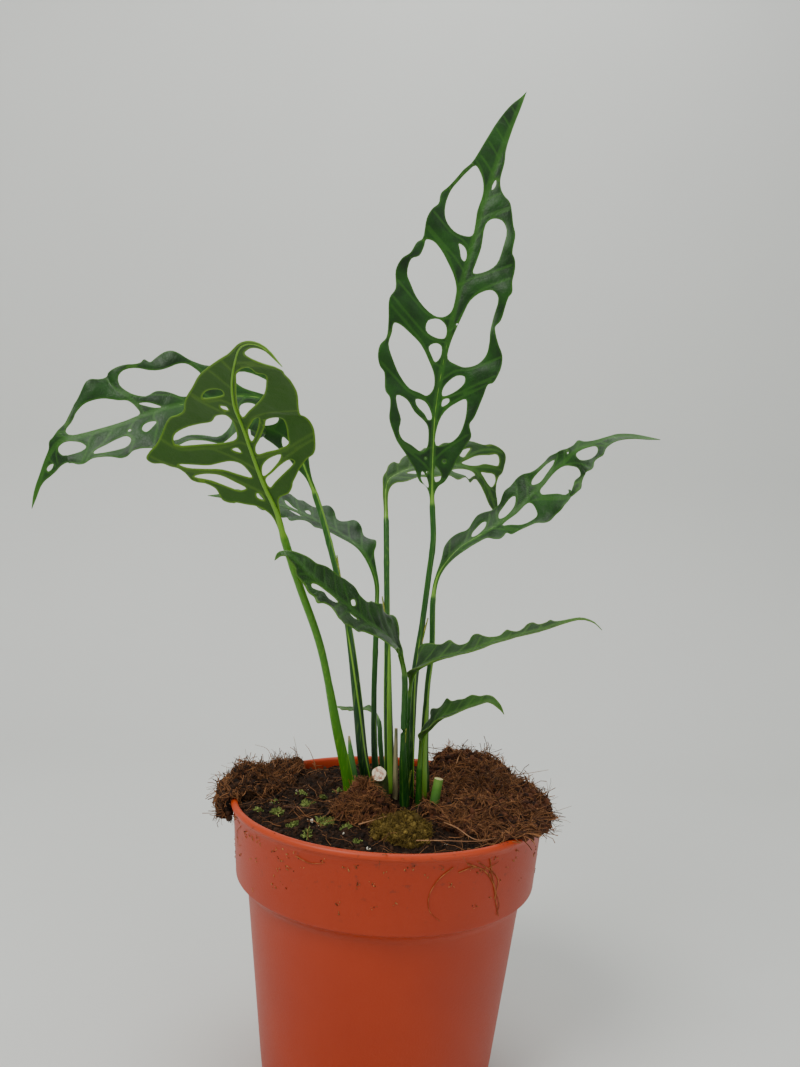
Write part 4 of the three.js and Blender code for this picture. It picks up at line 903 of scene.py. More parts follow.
            [(15.5, 2.5), (17, 4.2), (18.5, 3.8), (18, 2.5)],
            [(56.5, 9.3), (58.7, 8.5), (60.5, 6.5), (61.3, 3.4), (59.5, 2.7), (58, 4.5)],
            [(52.3, 2.4), (53, 4.3), (54.4, 4.2), (54, 2.6)],
            [
                (24.5, -1), (27, -1.3), (29.3, -2.6), (31.3, -5), (32.7, -9.3), (30.5, -8.3), (28, -6),
                (26, -3.7),
            ],
            [
                (33.3, -1.6), (36, -1.8), (40, -4.6), (45, -7.3), (48, -8.6), (49.3, -12),
                (48.5, -13.5), (45, -14), (40, -13.5), (37, -13), (35, -9.5), (34, -5),
            ],
            [
                (38.5, -1.2), (42, -1.1), (44, -1.8), (46.5, -3.5), (48.3, -4.8), (49, -6.3),
                (45.5, -5.3), (41.5, -3.4),
            ],
            [
                (49, -1.2), (58, -1.2), (66, -1.3), (71.5, -1.2), (74.6, -2.9), (75.5, -4.2),
                (74, -6.5), (74.8, -8.8), (70.5, -9.7), (64.4, -9.5), (58.9, -7.6), (52.7, -4),
            ],
            [
                (19.7, -1.6), (22, -1.1), (23.5, -1.6), (25.6, -4.6), (28.4, -8.2), (30.3, -11.8),
                (29.5, -12.8), (28, -12), (25, -8.5), (21.5, -4),
            ],
        ],
        "pins": [],
    },
    "leaf_back_left": {
        "petiole": [
            (-4.5, 7, 93), (-4.5, 7, 104), (-6.5, 9.5, 120), (-8, 14, 140.5), (-8.5, 18, 158.5),
            (-9, 22, 175),
        ],
        "rib": [
            (-9.5, 24, 184.5), (-12.5, 27, 192.5), (-17.5, 31, 199.5), (-26, 35, 205), (-36.5, 38, 210),
            (-49, 40, 215), (-62, 42, 218), (-74, 42, 219), (-85.5, 40, 219),
        ],
        "face": [
            (0, 0.2, -0.45, 0.9), (1, 0.2, -0.45, 0.9),
        ],
        "groove": (1, 0.2, 0),
        "radius": (1.7, 1.15),
        "sheath": 0.5,
        "fold": (10, 10),
        "wave": (1.3, 13, 1),
        "half": 13,
        "plus": [
            (0, 0.9), (8, 1), (16, 1.8), (20, 2.8), (23, 3.8), (25, 5), (27, 7.5), (29, 9.3),
            (30.5, 8.3), (33, 8), (35, 9.5), (37, 11.3), (41, 11.5), (43, 9.2), (45, 8), (47, 8.7),
            (50, 11.8), (53, 12), (55, 10.5), (57, 8.5), (60, 9), (63, 9), (65, 7.7), (68, 9),
            (71, 11.5), (74, 10), (77, 9), (80, 11), (82, 9), (85, 7), (88, 5.7), (90, 6), (93, 4.5),
            (96, 2), (99, 1),
        ],
        "minus": [
            (0, -0.9), (8, -1), (16, -1), (24, -1.2), (30, -1.6), (34, -2.2), (38, -3.2), (44, -4.8),
            (48, -5.5), (50, -6.8), (53, -6), (55, -6.5), (57, -9), (59, -12.3), (61, -11.5),
            (62.5, -10.2), (64, -13.2), (67, -13.8), (70, -12.5), (75, -10.7), (79, -9.5), (82, -8.3),
            (85, -8), (87, -5.7), (88.5, -5.3), (89.3, -8), (91, -8.8), (93, -7.3), (94.5, -3.5),
            (97, -2), (99.5, -1),
        ],
        "holes": [
            [(58.5, -3.3), (60.5, -1.6), (62.5, -1.2), (66, -1.2), (64, -2.6), (60.5, -3.8)],
            [(61, 1.1), (65, 2.2), (69, 4.8), (70, 4.9), (68, 2.2), (64.5, 1.1)],
            [(56.4, 2.2), (58.3, 4.5), (59.5, 3), (58, 1.9)],
            [(78.3, 1.3), (80, 3), (82, 5.4), (82, 3), (80.5, 1.4)],
        ],
        "pins": [],
    },
    "leaf_front": {
        "petiole": [
            (6, -8.5, 93), (6, -8.5, 106), (4.5, -13, 125), (4, -16, 143.5), (3.5, -19, 154.5),
        ],
        "rib": [
            (1.5, -23, 163), (-2, -28, 168.5), (-7, -33, 173), (-12.5, -37, 177), (-18.5, -41, 182),
            (-24, -45, 186.5), (-29.5, -48, 191), (-34, -50, 195.5), (-37.5, -51, 198), (-40, -52, 198),
            (-41.5, -52, 196),
        ],
        "face": [
            (0, -0.3, -0.6, 0.7), (1, -0.3, -0.6, 0.7),
        ],
        "groove": (0.6, 1, 0),
        "radius": (2.2, 1.15),
        "sheath": 0.55,
        "fold": (15, 15),
        "wave": (1, 12, 1),
        "half": 13,
        "plus": [
            (0, 0.9), (7, 1), (11, 1.6), (12.4, 4), (12.8, 8), (13.2, 12), (14, 15.5), (15.5, 15),
            (18, 13), (22, 13.7), (25, 12), (28, 10.5), (31, 10), (33, 8), (36, 6.7), (39, 6.8),
            (42, 8.8), (45, 9.3), (47, 8.5), (50, 7.5), (55, 7.3), (58, 6), (61, 4.5), (64, 4), (67, 3),
            (70, 1.8), (73, 1),
        ],
        "minus": [
            (0, -0.9), (7, -1), (13, -1.2), (16, -3.5), (19, -6), (21, -8), (23, -10.5), (25, -12.5),
            (27, -9.5), (29, -7.8), (32, -7.3), (35, -8), (37, -10), (39, -10.5), (42, -11), (45, -13),
            (47, -14), (49, -14.3), (50, -11), (51, -8.8), (53, -8.8), (54.7, -10), (56, -7.8),
            (58, -7.3), (60, -5.2), (61.5, -4.7), (64, -4.5), (66, -2.6), (70, -1.8), (73, -1.6),
        ],
        "holes": [
            [
                (47, -2.4), (48.5, -1.2), (52, -1), (56, -1.2), (58, -2.8), (57.5, -4.3), (55.5, -3.8),
                (53, -2.7), (51.5, -4.3), (49.5, -4.8), (47.8, -3.8),
            ],
            [(38.8, 2.6), (40, 4), (41.2, 2.8), (40, 1.5)],
            [(36.5, -2.6), (38.8, -2.4), (41, -3), (38.8, -3.8)],
        ],
        "pins": [],
    },
    "leaf_back": {
        "petiole": [
            (0.5, 4.5, 93), (0.5, 4.5, 104), (-2, 9, 137), (-3.5, 14, 159), (-5.5, 19, 189),
            (-7, 24, 212),
        ],
        "rib": [
            (-8, 28, 225), (-7, 31, 229.5), (-3.5, 36, 232.5), (3, 43, 236), (14.5, 51, 239),
            (23.5, 57, 239.5), (29.5, 60, 238.5), (33.5, 61.5, 236.5), (36.5, 62.5, 233),
            (39, 63, 228.5), (41.5, 63, 222), (42.5, 62, 218.5),
        ],
        "face": [
            (0, 0.3, -0.8, 0.4), (0.5, 0, -0.6, 0.8), (1, 0.6, -0.6, 0.2),
        ],
        "groove": (-1, -0.3, 0),
        "radius": (2.2, 1.2),
        "sheath": 0.6,
        "fold": (10, 10),
        "wave": (1.1, 14, 1),
        "half": 16,
        "plus": [
            (0, 0.9), (10, 1.1), (15, 1.8), (19, 3.5), (23, 5.5), (28, 7), (33, 8), (38, 10.5),
            (42, 13.5), (46, 15.5), (50, 16), (55, 14.3), (60, 13), (64, 12.2), (67, 10), (70, 7.3),
            (73, 5.5), (77, 4.5), (82, 4.3), (87, 4), (91, 2.5),
        ],
        "minus": [
            (0, -0.9), (10, -1.1), (15, -1.5), (19, -2.8), (22, -3.5), (26, -5.6), (30, -6),
            (31.5, -4.5), (34, -6), (38, -8), (42, -8.5), (46, -9.3), (50, -11.5), (54, -10.5),
            (58, -12.3), (61, -12.6), (65, -15), (68, -16.5), (71, -16), (72.5, -18.5), (75, -20),
            (77, -17.5), (79, -13), (79.5, -9.5), (81, -6.5), (84, -4), (88, -3), (91, -2),
        ],
        "holes": [
            [
                (64, -1.6), (67, -4.5), (70, -8.3), (73, -12.3), (74.3, -15.6), (75.8, -14),
                (76.3, -12), (75, -9.5), (73, -6.5), (71.3, -3.6), (68, -1.6),
            ],
            [
                (73.8, -1.6), (75.5, -4), (78, -7.5), (79.5, -7), (81, -4.8), (81.5, -2.4),
                (79.5, -1.3), (76, -1.2),
            ],
            [
                (53, 7.5), (57, 4.8), (61, 3.2), (66, 2), (70, 2), (71, 3.2), (68, 6.5), (64.5, 9.5),
                (59, 11.5), (55, 10.5),
            ],
            [(63.7, -5.8), (65, -9), (68, -12), (67.3, -9.3), (65.2, -5.3)],
            [(38, -2.6), (42, -3), (45, -5), (41, -6)],
            [(30, 2), (36, 2.6), (40, 5.5), (37, 7.3), (33, 5)],
        ],
        "pins": [],
    },
    "leaf_right": {
        "petiole": [
            (14, 1, 93), (14, 1, 104), (13, 3, 125.5), (13, 5, 147), (14, 6, 161.5), (13.5, 7, 181.5),
        ],
        "rib": [
            (14.5, 8, 189.5), (17, 8, 195), (23, 8, 202.5), (31, 8, 208), (37.5, 8, 212.5),
            (43.5, 7, 217.5), (49, 6, 223.5), (53.5, 5, 229), (58, 4, 235), (62, 2, 238.5),
            (65.5, 0, 242.5), (71.5, -2, 245.5), (78, -4, 248), (84.5, -6, 248.5), (91, -8, 248),
            (95, -10, 247.5),
        ],
        "face": [
            (0, 0, -0.7, 0.7), (1, 0, -0.7, 0.7),
        ],
        "groove": (-1, -0.2, 0),
        "radius": (2.1, 1.15),
        "sheath": 0.55,
        "fold": (10, 10),
        "wave": (1.1, 16, 1),
        "half": 18,
        "plus": [
            (0, 0.9), (10, 1), (15, 1.2), (20, 1.9), (25, 2.8), (30, 2.8), (35, 3.2), (37, 5.8),
            (39, 7.3), (41, 7), (42.5, 6.5), (44, 8.8), (47, 9.7), (50, 10.7), (53, 11.9), (55, 14.2),
            (57, 15.2), (60, 15.3), (63, 16), (66, 15.3), (68.5, 14.6), (71, 15), (73, 17.5), (75, 20),
            (76.3, 20.7), (78, 18.8), (79, 15.2), (80.3, 13.5), (82, 13.8), (84, 15.5), (86, 15.8),
            (88, 15), (89.5, 11.4), (91, 10.3), (93, 9.9), (94, 8.3), (95, 6.5), (98, 4.5), (102, 2.5),
            (107, 1.4), (112, 1),
        ],
        "minus": [
            (0, -0.9), (10, -1), (14, -1.8), (17, -3), (20, -4.8), (24, -5.8), (27, -5.8), (30, -5.2),
            (34, -7), (37, -8.2), (40, -8), (43, -7), (47, -7.2), (50, -8.5), (53, -9.5), (56, -9.3),
            (60, -9.8), (63, -9), (66, -6.8), (69, -5.6), (72, -5.5), (74, -6.5), (77, -6), (80, -4.8),
            (82, -3.4), (84, -3.1), (86, -4.2), (88, -2.6), (92, -1.3), (97, -1), (100, -1.5),
            (105, -1.5), (110, -1),
        ],
        "holes": [
            [
                (43, 1.8), (46, 4.5), (49, 8), (52, 9.3), (55, 9.3), (56.5, 6.5), (57, 3), (56, 1.3),
                (50, 1.3), (45, 1.1),
            ],
            [
                (62.3, 3.5), (64, 6), (66, 9), (67.3, 12.2), (70, 12.8), (73, 13.8), (74.6, 16.5),
                (76, 18.2), (77.2, 15.5), (78, 12.8), (79.6, 11.8), (80.3, 8), (79, 4.5), (77, 1.9),
                (72, 1.1), (66, 1.1), (63, 1.4),
            ],
            [
                (83.2, 1.5), (83.3, 5), (85, 8), (88, 9.2), (90.5, 8), (91.8, 5), (91.2, 2),
                (88.5, 1.1), (85, 1),
            ],
            [
                (30.3, -1.4), (31.3, -2.7), (34, -3.7), (37.3, -4.4), (38.4, -3.8), (37, -2.1),
                (34, -1.1), (31.6, -0.9),
            ],
            [
                (43.5, -2), (44.5, -3.8), (48, -5), (53, -5.6), (54.5, -4.8), (52, -2.3), (48.5, -1.3),
                (45, -1.1),
            ],
            [(62.5, -3), (64, -4.2), (70, -4), (74.5, -3.8), (73, -2), (69, -1.2), (65, -1.2)],
        ],
        "pins": [(81, -1.9, 0.4)],
    },
    "leaf_right_mid": {
        "petiole": [
            (6.5, -3, 93), (6.5, -3, 106), (6, -7, 125), (5.5, -10, 145),
        ],
        "rib": [
            (6.5, -13, 154), (8, -15, 157), (14, -18, 161), (21.5, -20, 164), (27.5, -22, 166),
            (33.5, -23, 169), (39.5, -24, 171), (43, -25, 172.5), (51, -26, 175), (58.5, -27, 178),
            (65, -28, 180), (69.5, -28, 179), (72.5, -28, 176.5),
        ],
        "face": [
            (0, -0.1, -0.3, 0.95), (1, -0.1, -0.3, 0.95),
        ],
        "groove": (0.2, 1, 0),
        "radius": (1.5, 1.05),
        "sheath": 0.5,
        "fold": (20, 20),
        "wave": (0.7, 12, 1),
        "half": 10,
        "plus": [
            (0, 0.8), (6, 1), (10, 2.5), (13, 5), (16, 7), (20, 8), (24, 7), (28, 7.5), (32, 5.6),
            (36, 6.5), (40, 6), (44, 4.3), (48, 5), (52, 3.6), (56, 3.2), (60, 4), (64, 2.8), (68, 2.2),
            (72, 1.4), (78, 0.8),
        ],
        "minus": [
            (0, -0.8), (6, -1), (10, -2.5), (12, -7.5), (14, -11), (17, -11.5), (20, -10.8), (23, -8.2),
            (25, -7), (28, -7.8), (29.5, -6), (31, -4.7), (34, -5.2), (36, -6.8), (40, -6.8),
            (42, -4.7), (43.5, -3.4), (47, -2.8), (50, -4.7), (51.5, -3.5), (54, -2.3), (56, -3.1),
            (58, -4.9), (60, -5), (62, -3.2), (65, -3.1), (66.5, -3.6), (68, -2.2), (72, -1.3),
            (78, -0.8),
        ],
        "holes": [],
        "pins": [],
    },
    "leaf_right_low": {
        "petiole": [
            (11.5, -6.5, 93), (11.5, -6.5, 104), (11, -9, 118),
        ],
        "rib": [
            (11.5, -11, 131), (14, -14, 135), (17.5, -17, 139.5), (23, -20, 143), (27.5, -22, 145.5),
            (31.5, -24, 147.5), (34, -25, 148.5), (36, -26, 148), (38, -27, 146.5), (39.5, -27, 144.5),
        ],
        "face": [
            (0, -0.3, -0.3, 0.9), (1, -0.1, -0.3, 0.95),
        ],
        "groove": (0.3, 1, 0),
        "radius": (1.9, 1.1),
        "sheath": 0.6,
        "fold": (20, 20),
        "wave": (0.6, 9, 1),
        "half": 8,
        "plus": [
            (0, 0.9), (11, 1.2), (14, 3), (17, 5), (20, 6.3), (23, 6.5), (26, 5.8), (29, 6.3), (32, 5),
            (36, 4.6), (40, 3.4), (44, 2.5), (48, 1.5), (51, 0.9),
        ],
        "minus": [
            (0, -0.9), (11, -1.2), (13, -3), (15, -6.5), (17.5, -8.3), (21, -8.5), (24, -7), (26, -7.5),
            (28, -8.3), (30.5, -6), (33, -6.3), (36, -5), (39, -5.3), (42, -4), (45, -3.2), (48, -1.8),
            (51, -0.9),
        ],
        "holes": [],
        "pins": [],
    },
    "leaf_back_small": {
        "petiole": [
            (-2, 12, 93), (-2, 12, 103), (-4.5, 17, 121.5), (-5.5, 20, 129),
        ],
        "rib": [
            (-8, 24, 132), (-11.5, 28, 132.5), (-15.5, 32, 131), (-20, 37, 130), (-24.5, 42, 130),
        ],
        "face": [
            (0, 0, -0.1, 0.99), (1, 0, -0.1, 0.99),
        ],
        "groove": (0.3, -1, 0),
        "radius": (1.3, 1),
        "sheath": 0.5,
        "fold": (10, 10),
        "wave": (0.4, 6, 1),
        "half": 4,
        "plus": [
            (0, 0.8), (5, 1), (8.5, 2.2), (11.5, 3.4), (14.5, 4), (17.5, 3.6), (20.5, 4), (23.5, 3),
            (26.5, 2), (29, 1),
        ],
        "minus": [
            (0, -0.8), (5, -1), (8.5, -2.2), (11.5, -3.6), (14.5, -3.8), (17.5, -4.1), (20.5, -3.4),
            (23.5, -3.2), (26.5, -1.8), (29, -1),
        ],
        "holes": [],
        "pins": [],
    },
}
LINE_STEPS = 24
LIP_TURN = 0.72
CLEARANCE = 0.55
BLADE_HALF = 0.24


def spline(knots, per, closed=False):
    """Centripetal Catmull-Rom line through the knots, with per steps to a span."""
    p = np.array(knots, float)
    if closed:
        q = np.vstack([p[-1], p, p[0], p[1]])
    else:
        q = np.vstack([2 * p[0] - p[1], p, 2 * p[-1] - p[-2]])
    u = np.linspace(0, 1, per, endpoint=False)[:, None]
    parts = []
    for i in range(len(q) - 3):
        a, b, c, d = q[i:i + 4]
        d0, d1, d2 = [max(np.linalg.norm(v) ** 0.5, 1e-4) for v in (b - a, c - b, d - c)]
        t1 = ((b - a) / d0 - (c - a) / (d0 + d1) + (c - b) / d1) * d1
        t2 = ((c - b) / d1 - (d - b) / (d1 + d2) + (d - c) / d2) * d1
        parts.append(b + t1 * u + (3 * (c - b) - 2 * t1 - t2) * u**2 + (2 * (b - c) + t1 + t2) * u**3)
    if not closed:
        parts.append(p[-1:])
    return np.vstack(parts)


def unit(rows):
    """Rows of vectors, each scaled to a length of one."""
    return rows / np.maximum(np.linalg.norm(rows, axis=-1, keepdims=True), 1e-9)


class Shape:
    """Where the points of a leaf's flat pattern lie in the plant."""

    def __init__(self, leaf):
        self.leaf = leaf
        self.line = spline(leaf["petiole"] + leaf["rib"], LINE_STEPS)
        steps = np.linalg.norm(np.diff(self.line, axis=0), axis=1)
        along = np.concatenate([[0], np.cumsum(steps)])
        zero = along[(len(leaf["petiole"]) - 1) * LINE_STEPS]
        self.along = along - zero
        self.foot = self.along[0]
        self.length = self.along[-1]
        self.tangent = unit(np.gradient(self.line, axis=0))

    def pick(self, rows, s):
        """Rows of the centre line read at distances along it."""
        return np.stack([np.interp(s, self.along, rows[:, i]) for i in range(3)], -1)

    def frame(self, s):
        """Centre, across and normal at distances along the midrib."""
        s = np.asarray(s, float)
        tangent = unit(self.pick(self.tangent, s))
        table = np.array(self.leaf["face"], float)
        share = np.clip(s / self.length, 0, 1)
        hint = np.stack([np.interp(share, table[:, 0], table[:, i]) for i in (1, 2, 3)], -1)
        low = np.clip(s / self.foot, 0, 1)[..., None]
        hint = hint + (np.array(self.leaf["groove"], float) - hint) * low
        across = unit(np.cross(tangent, hint))
        return self.pick(self.line, s), across, np.cross(across, tangent)

    def place(self, s, t, lift):
        """Point above (s, t) of the flat pattern, lifted along the blade's normal."""
        s, t = np.asarray(s, float), np.asarray(t, float)
        centre, across, normal = self.frame(np.clip(s, self.foot, self.length))
        right = t > 0
        fold = np.radians(np.where(right, self.leaf["fold"][1], self.leaf["fold"][0]))
        side = np.where(right, 1.0, -1.0)
        away = np.abs(t)
        height, wavelength, phase = self.leaf["wave"]
        ruffle = height * np.minimum(1, away / self.leaf["half"]) ** 2
        turn = 2 * np.pi * s / wavelength + np.where(right, phase, 0)
        out = side * (away * np.cos(fold) - lift * np.sin(fold) * np.minimum(1, away))
        up = away * np.sin(fold) + ruffle * np.sin(turn) + lift
        return centre + across * out[..., None] + normal * up[..., None]


def inside(loop, x, y):
    """Which of the points lie in a closed loop."""
    odd = np.zeros(len(x), bool)
    for (ax, ay), (bx, by) in zip(loop, np.roll(loop, -1, axis=0)):
        if ay == by:
            continue
        crosses = (ay > y) != (by > y)
        odd ^= crosses & (x < (bx - ax) * (y - ay) / (by - ay) + ax)
    return odd


def distance(x, y, spots):
    """Distance from each point to the nearest of the spots."""
    found = np.full(len(x), 1e9)
    for block in range(0, len(x), 2000):
        part = slice(block, block + 2000)
        dx = x[part, None] - spots[None, :, 0]
        dy = y[part, None] - spots[None, :, 1]
        found[part] = np.sqrt((dx * dx + dy * dy).min(1))
    return found


def dense(loop, closed=True, step=0.35):
    """Points close together along a line."""
    ends = np.roll(loop, -1, axis=0) if closed else loop[1:]
    parts = []
    for a, b in zip(loop, ends):
        count = max(1, int(np.linalg.norm(b - a) / step))
        parts.append(a + (b - a) * np.linspace(0, 1, count, endpoint=False)[:, None])
    return np.vstack(parts)


def vein_path(side, start, length, outer, spans):
    """Side vein from the midrib to the margin, kept in the strips between windows."""
    s = start
    path = [(start, 0.0)]
    for step in range(1, 70):
        t = 0.8 * step
        lean = 1.1 if step < 6 else 0.75
        s += 0.8 * lean * (1 - start / length * 0.3)
        low, high = -1e9, 1e9
        for begin, end in spans(side, t):
            if (begin + end) / 2 < s:
                low = max(low, end)
            else:
                high = min(high, begin)
        room = min(1.3, (high - low) / 2)
        s = min(max(s, low + room), high - room)
        if not inside(outer, np.array([s]), np.array([side * t]))[0]:
            break
        path.append((s, side * t))
    path = np.array(path)
    for _ in range(6):
        if len(path) > 3:
            path[1:-1] = (path[:-2] + 2 * path[1:-1] + path[2:]) / 4
    return path


def side_veins(leaf, length, outer, windows):
    """Lines of the side veins of both halves in the flat pattern."""
    def spans(side, t):
        found = []
        for loop in windows:
            level = side * t
            hits = []
            for (ax, ay), (bx, by) in zip(loop, np.roll(loop, -1, axis=0)):
                if (ay > level) != (by > level):
                    hits.append(ax + (bx - ax) * (level - ay) / (by - ay))
            if hits:
                found.append((min(hits), max(hits)))
        return found

    lines = []
    for side, begin in ((1, leaf["vein"][1]), (-1, leaf["vein"][1] + leaf["vein"][0] / 2)):
        start = begin
        while start < length * 0.93:
            path = vein_path(side, start, length, outer, spans)
            fresh = not lines or distance(path[:, 0], path[:, 1], np.vstack(lines)).mean() > 1.4
            if len(path) > 3 and fresh:
                lines.append(path)
            start += leaf["vein"][0] * (1 - 0.45 * start / length)
    return lines


def blade_pattern(leaf, shape):
    """Flat pattern of the blade as points and triangles, with distances to veins and edge."""
    length = shape.length
    plus = spline(leaf["plus"] + [(length, 0)], 4)
    minus = spline(leaf["minus"] + [(length, 0)], 4)
    outer = np.vstack([plus, minus[:-1][::-1]])
    windows = [spline(loop, 3, closed=True) for loop in leaf["holes"]]
    for s, t, radius in leaf["pins"]:
        turns = np.arange(8) * np.pi / 4
        windows.append(np.stack([s + radius * np.cos(turns), t + radius * np.sin(turns)], -1))
    veins = side_veins(leaf, length, outer, windows)
    border = np.vstack([dense(loop) for loop in [outer] + windows])
    pitch = 1.05
    span = outer[:, 1].min(), outer[:, 1].max()
    rows = np.arange(span[0], span[1], pitch * 0.87)
    columns = np.arange(0.5, length, pitch)
    x, y = np.meshgrid(columns, rows)
    x = (x + (np.arange(len(rows))[:, None] % 2) * pitch / 2).ravel()
    y = y.ravel()
    rib = np.arange(0.4, length - 0.5, pitch)
    vein_spots = np.vstack([dense(v, False) for v in veins] + [np.stack([rib, rib * 0], -1)])
    clear = (distance(x, y, border) > CLEARANCE) & (distance(x, y, vein_spots) > CLEARANCE)
    keep = inside(outer, x, y) & clear
    for loop in windows:
        keep &= ~inside(loop, x, y)
    points = [tuple(p) for p in outer]
    edges = []
    loops = [list(range(len(outer)))]
    for loop in windows:
        loops.append(list(range(len(points), len(points) + len(loop))))
        points += [tuple(p) for p in loop]
    for line in loops:
        edges += list(zip(line, line[1:] + line[:1]))
    for line in veins + [np.stack([rib, rib * 0], -1)]:
        first = len(points)
        points += [tuple(p) for p in line]
        edges += [(first + i, first + i + 1) for i in range(len(line) - 1)]
    points += list(zip(x[keep], y[keep]))
    found = geometry.delaunay_2d_cdt([Vector(p) for p in points], edges, [], 0, 1e-4)
    flat = np.array([(p.x, p.y) for p in found[0]])
    triangles = np.array(found[2])
    middle = flat[triangles].mean(1)
    good = inside(outer, middle[:, 0], middle[:, 1])
    for loop in windows:
        good &= ~inside(loop, middle[:, 0], middle[:, 1])
    triangles = triangles[good]
    used, renumbered = np.unique(triangles, return_inverse=True)
    flat = flat[used]
    triangles = renumbered.reshape(-1, 3)
    to_vein = np.vstack([dense(v, False) for v in veins]) if veins else np.array([[1e3, 1e3]])
    near = distance(flat[:, 0], flat[:, 1], to_vein)
    edge = distance(flat[:, 0], flat[:, 1], border)
    return flat, triangles, np.minimum(near, 4), np.minimum(edge, 6)


def stalk_rings(leaf, shape, sides):
    """Rings of the petiole, running on as the midrib of the blade."""
    foot, neck = leaf["radius"]
    total = -shape.foot
    end = shape.length * 0.94
    stations = np.concatenate([
        np.linspace(shape.foot, 0, max(12, int(total / 2.2)), endpoint=False),
        np.linspace(0, end, max(8, int(end / 2.2))),
    ])
    share = (stations - shape.foot) / total
    opened = np.clip(1 - share / leaf["sheath"], 0, 1)
    radius = neck + (foot - neck) * opened**0.7
    down = np.clip(stations / end, 0, 1)
    thin = np.where(stations > 0, (1 - 0.72 * down**0.7) * 0.62 + 0.38 * np.exp(-stations / 4), 1.0)
    radius = radius * thin * np.where(stations > 0, 1 - 0.15 * down, 1)
    joint = np.exp(-(((stations + leaf["joint"]) / 1.6) ** 2))
    radius = radius * (1 + 0.1 * joint)
    sink = np.where(stations > 0, radius * 0.45, 0) * np.clip(stations / 5, 0, 1)
    centre, across, normal = shape.frame(stations)
    centre = centre - normal * sink[:, None]
    angles = 2 * np.pi * np.arange(sides) / sides
    turned = np.where(angles > np.pi, angles - 2 * np.pi, angles)
    channel = np.where(share < 0.06, 0, 0.42 * np.sqrt(opened))[:, None]
    dip = np.exp(-((turned / 0.42) ** 2))[None, :]
    lips = np.exp(-(((np.abs(turned) - LIP_TURN) / 0.2) ** 2))[None, :]
    reach = radius[:, None] * (1 - channel * dip + 0.28 * channel * lips)
    cosines, sines = np.cos(angles)[None, :, None], np.sin(angles)[None, :, None]
    around = cosines * normal[:, None] + sines * across[:, None]
    return centre[:, None] + around * reach[..., None], stations, share, turned, opened


def leaf_mesh(name, leaf, skins):
    """Blade and petiole of one leaf as one mesh with its colour attributes."""
    shape = Shape(leaf)
    flat, triangles, near, edge = blade_pattern(leaf, shape)
    s, t = flat[:, 0], flat[:, 1]
    half = BLADE_HALF * np.clip(edge / 0.5, 0.55, 1)
    swell = leaf["bulge"] * (1 - np.exp(-((near / 1.8) ** 2))) * np.clip(edge / 2.5, 0, 1)
    swell = swell * np.clip(np.abs(t) / 2.5, 0, 1)
    bumpy = np.array([noise.noise(Vector((a * 0.35, b * 0.35, 3.0))) for a, b in flat])
    swell = swell * (1 + 0.5 * bumpy) + 0.12 * bumpy * np.clip(edge / 2, 0, 1)
    top = shape.place(s, t, half + swell)
    low = shape.place(s, t, -half + swell)
    count = len(flat)
    faces = [(a, c, b) for a, b, c in triangles]
    faces += [(count + a, count + b, count + c) for a, b, c in triangles]
    open_edges = {}
    for a, b, c in triangles:
        for p, q in ((a, b), (b, c), (c, a)):
            if open_edges.pop((q, p), None) is None:
                open_edges[(p, q)] = True
    faces += [(p, q, count + q, count + p) for p, q in open_edges]
    sides = 16
    rings, stations, share, turned, opened = stalk_rings(leaf, shape, sides)
    first = 2 * count
    rows = len(stations)
    stalk_faces = ring_faces(first, rows, sides)
    stalk_faces.append([first + k for k in range(sides)][::-1])
    stalk_faces.append([first + (rows - 1) * sides + k for k in range(sides)])
    points = np.vstack([top, low, rings.reshape(-1, 3)])
    piece = mesh_piece(name, points.tolist(), faces + stalk_faces, skins, 50)
    mesh = piece.data
    kinds = np.zeros(len(mesh.polygons), np.int32)
    kinds[len(faces):] = 1
    mesh.polygons.foreach_set("material_index", kinds)
    along = np.concatenate([s, s, np.repeat(stations, sides)])
    wide = np.concatenate([t, t, np.tile(turned, rows)])
    grown = {
        "vein": np.concatenate([near, near, np.zeros(rows * sides)]),
        "edge": np.concatenate([edge, edge, np.repeat(opened, sides)]),
        "under": np.concatenate([np.zeros(count), np.ones(count), np.repeat(share, sides)]),
    }
    for key, values in grown.items():
        layer = mesh.attributes.new(key, "FLOAT", "POINT")
        layer.data.foreach_set("value", values.astype(np.float32))
    corners = np.zeros(len(mesh.loops), np.int32)
    mesh.loops.foreach_get("vertex_index", corners)
    layer = mesh.uv_layers.new(name="pattern")
    pattern = np.stack([along[corners], wide[corners]], -1).astype(np.float32)
    layer.data.foreach_set("uv", pattern.ravel())
    return piece


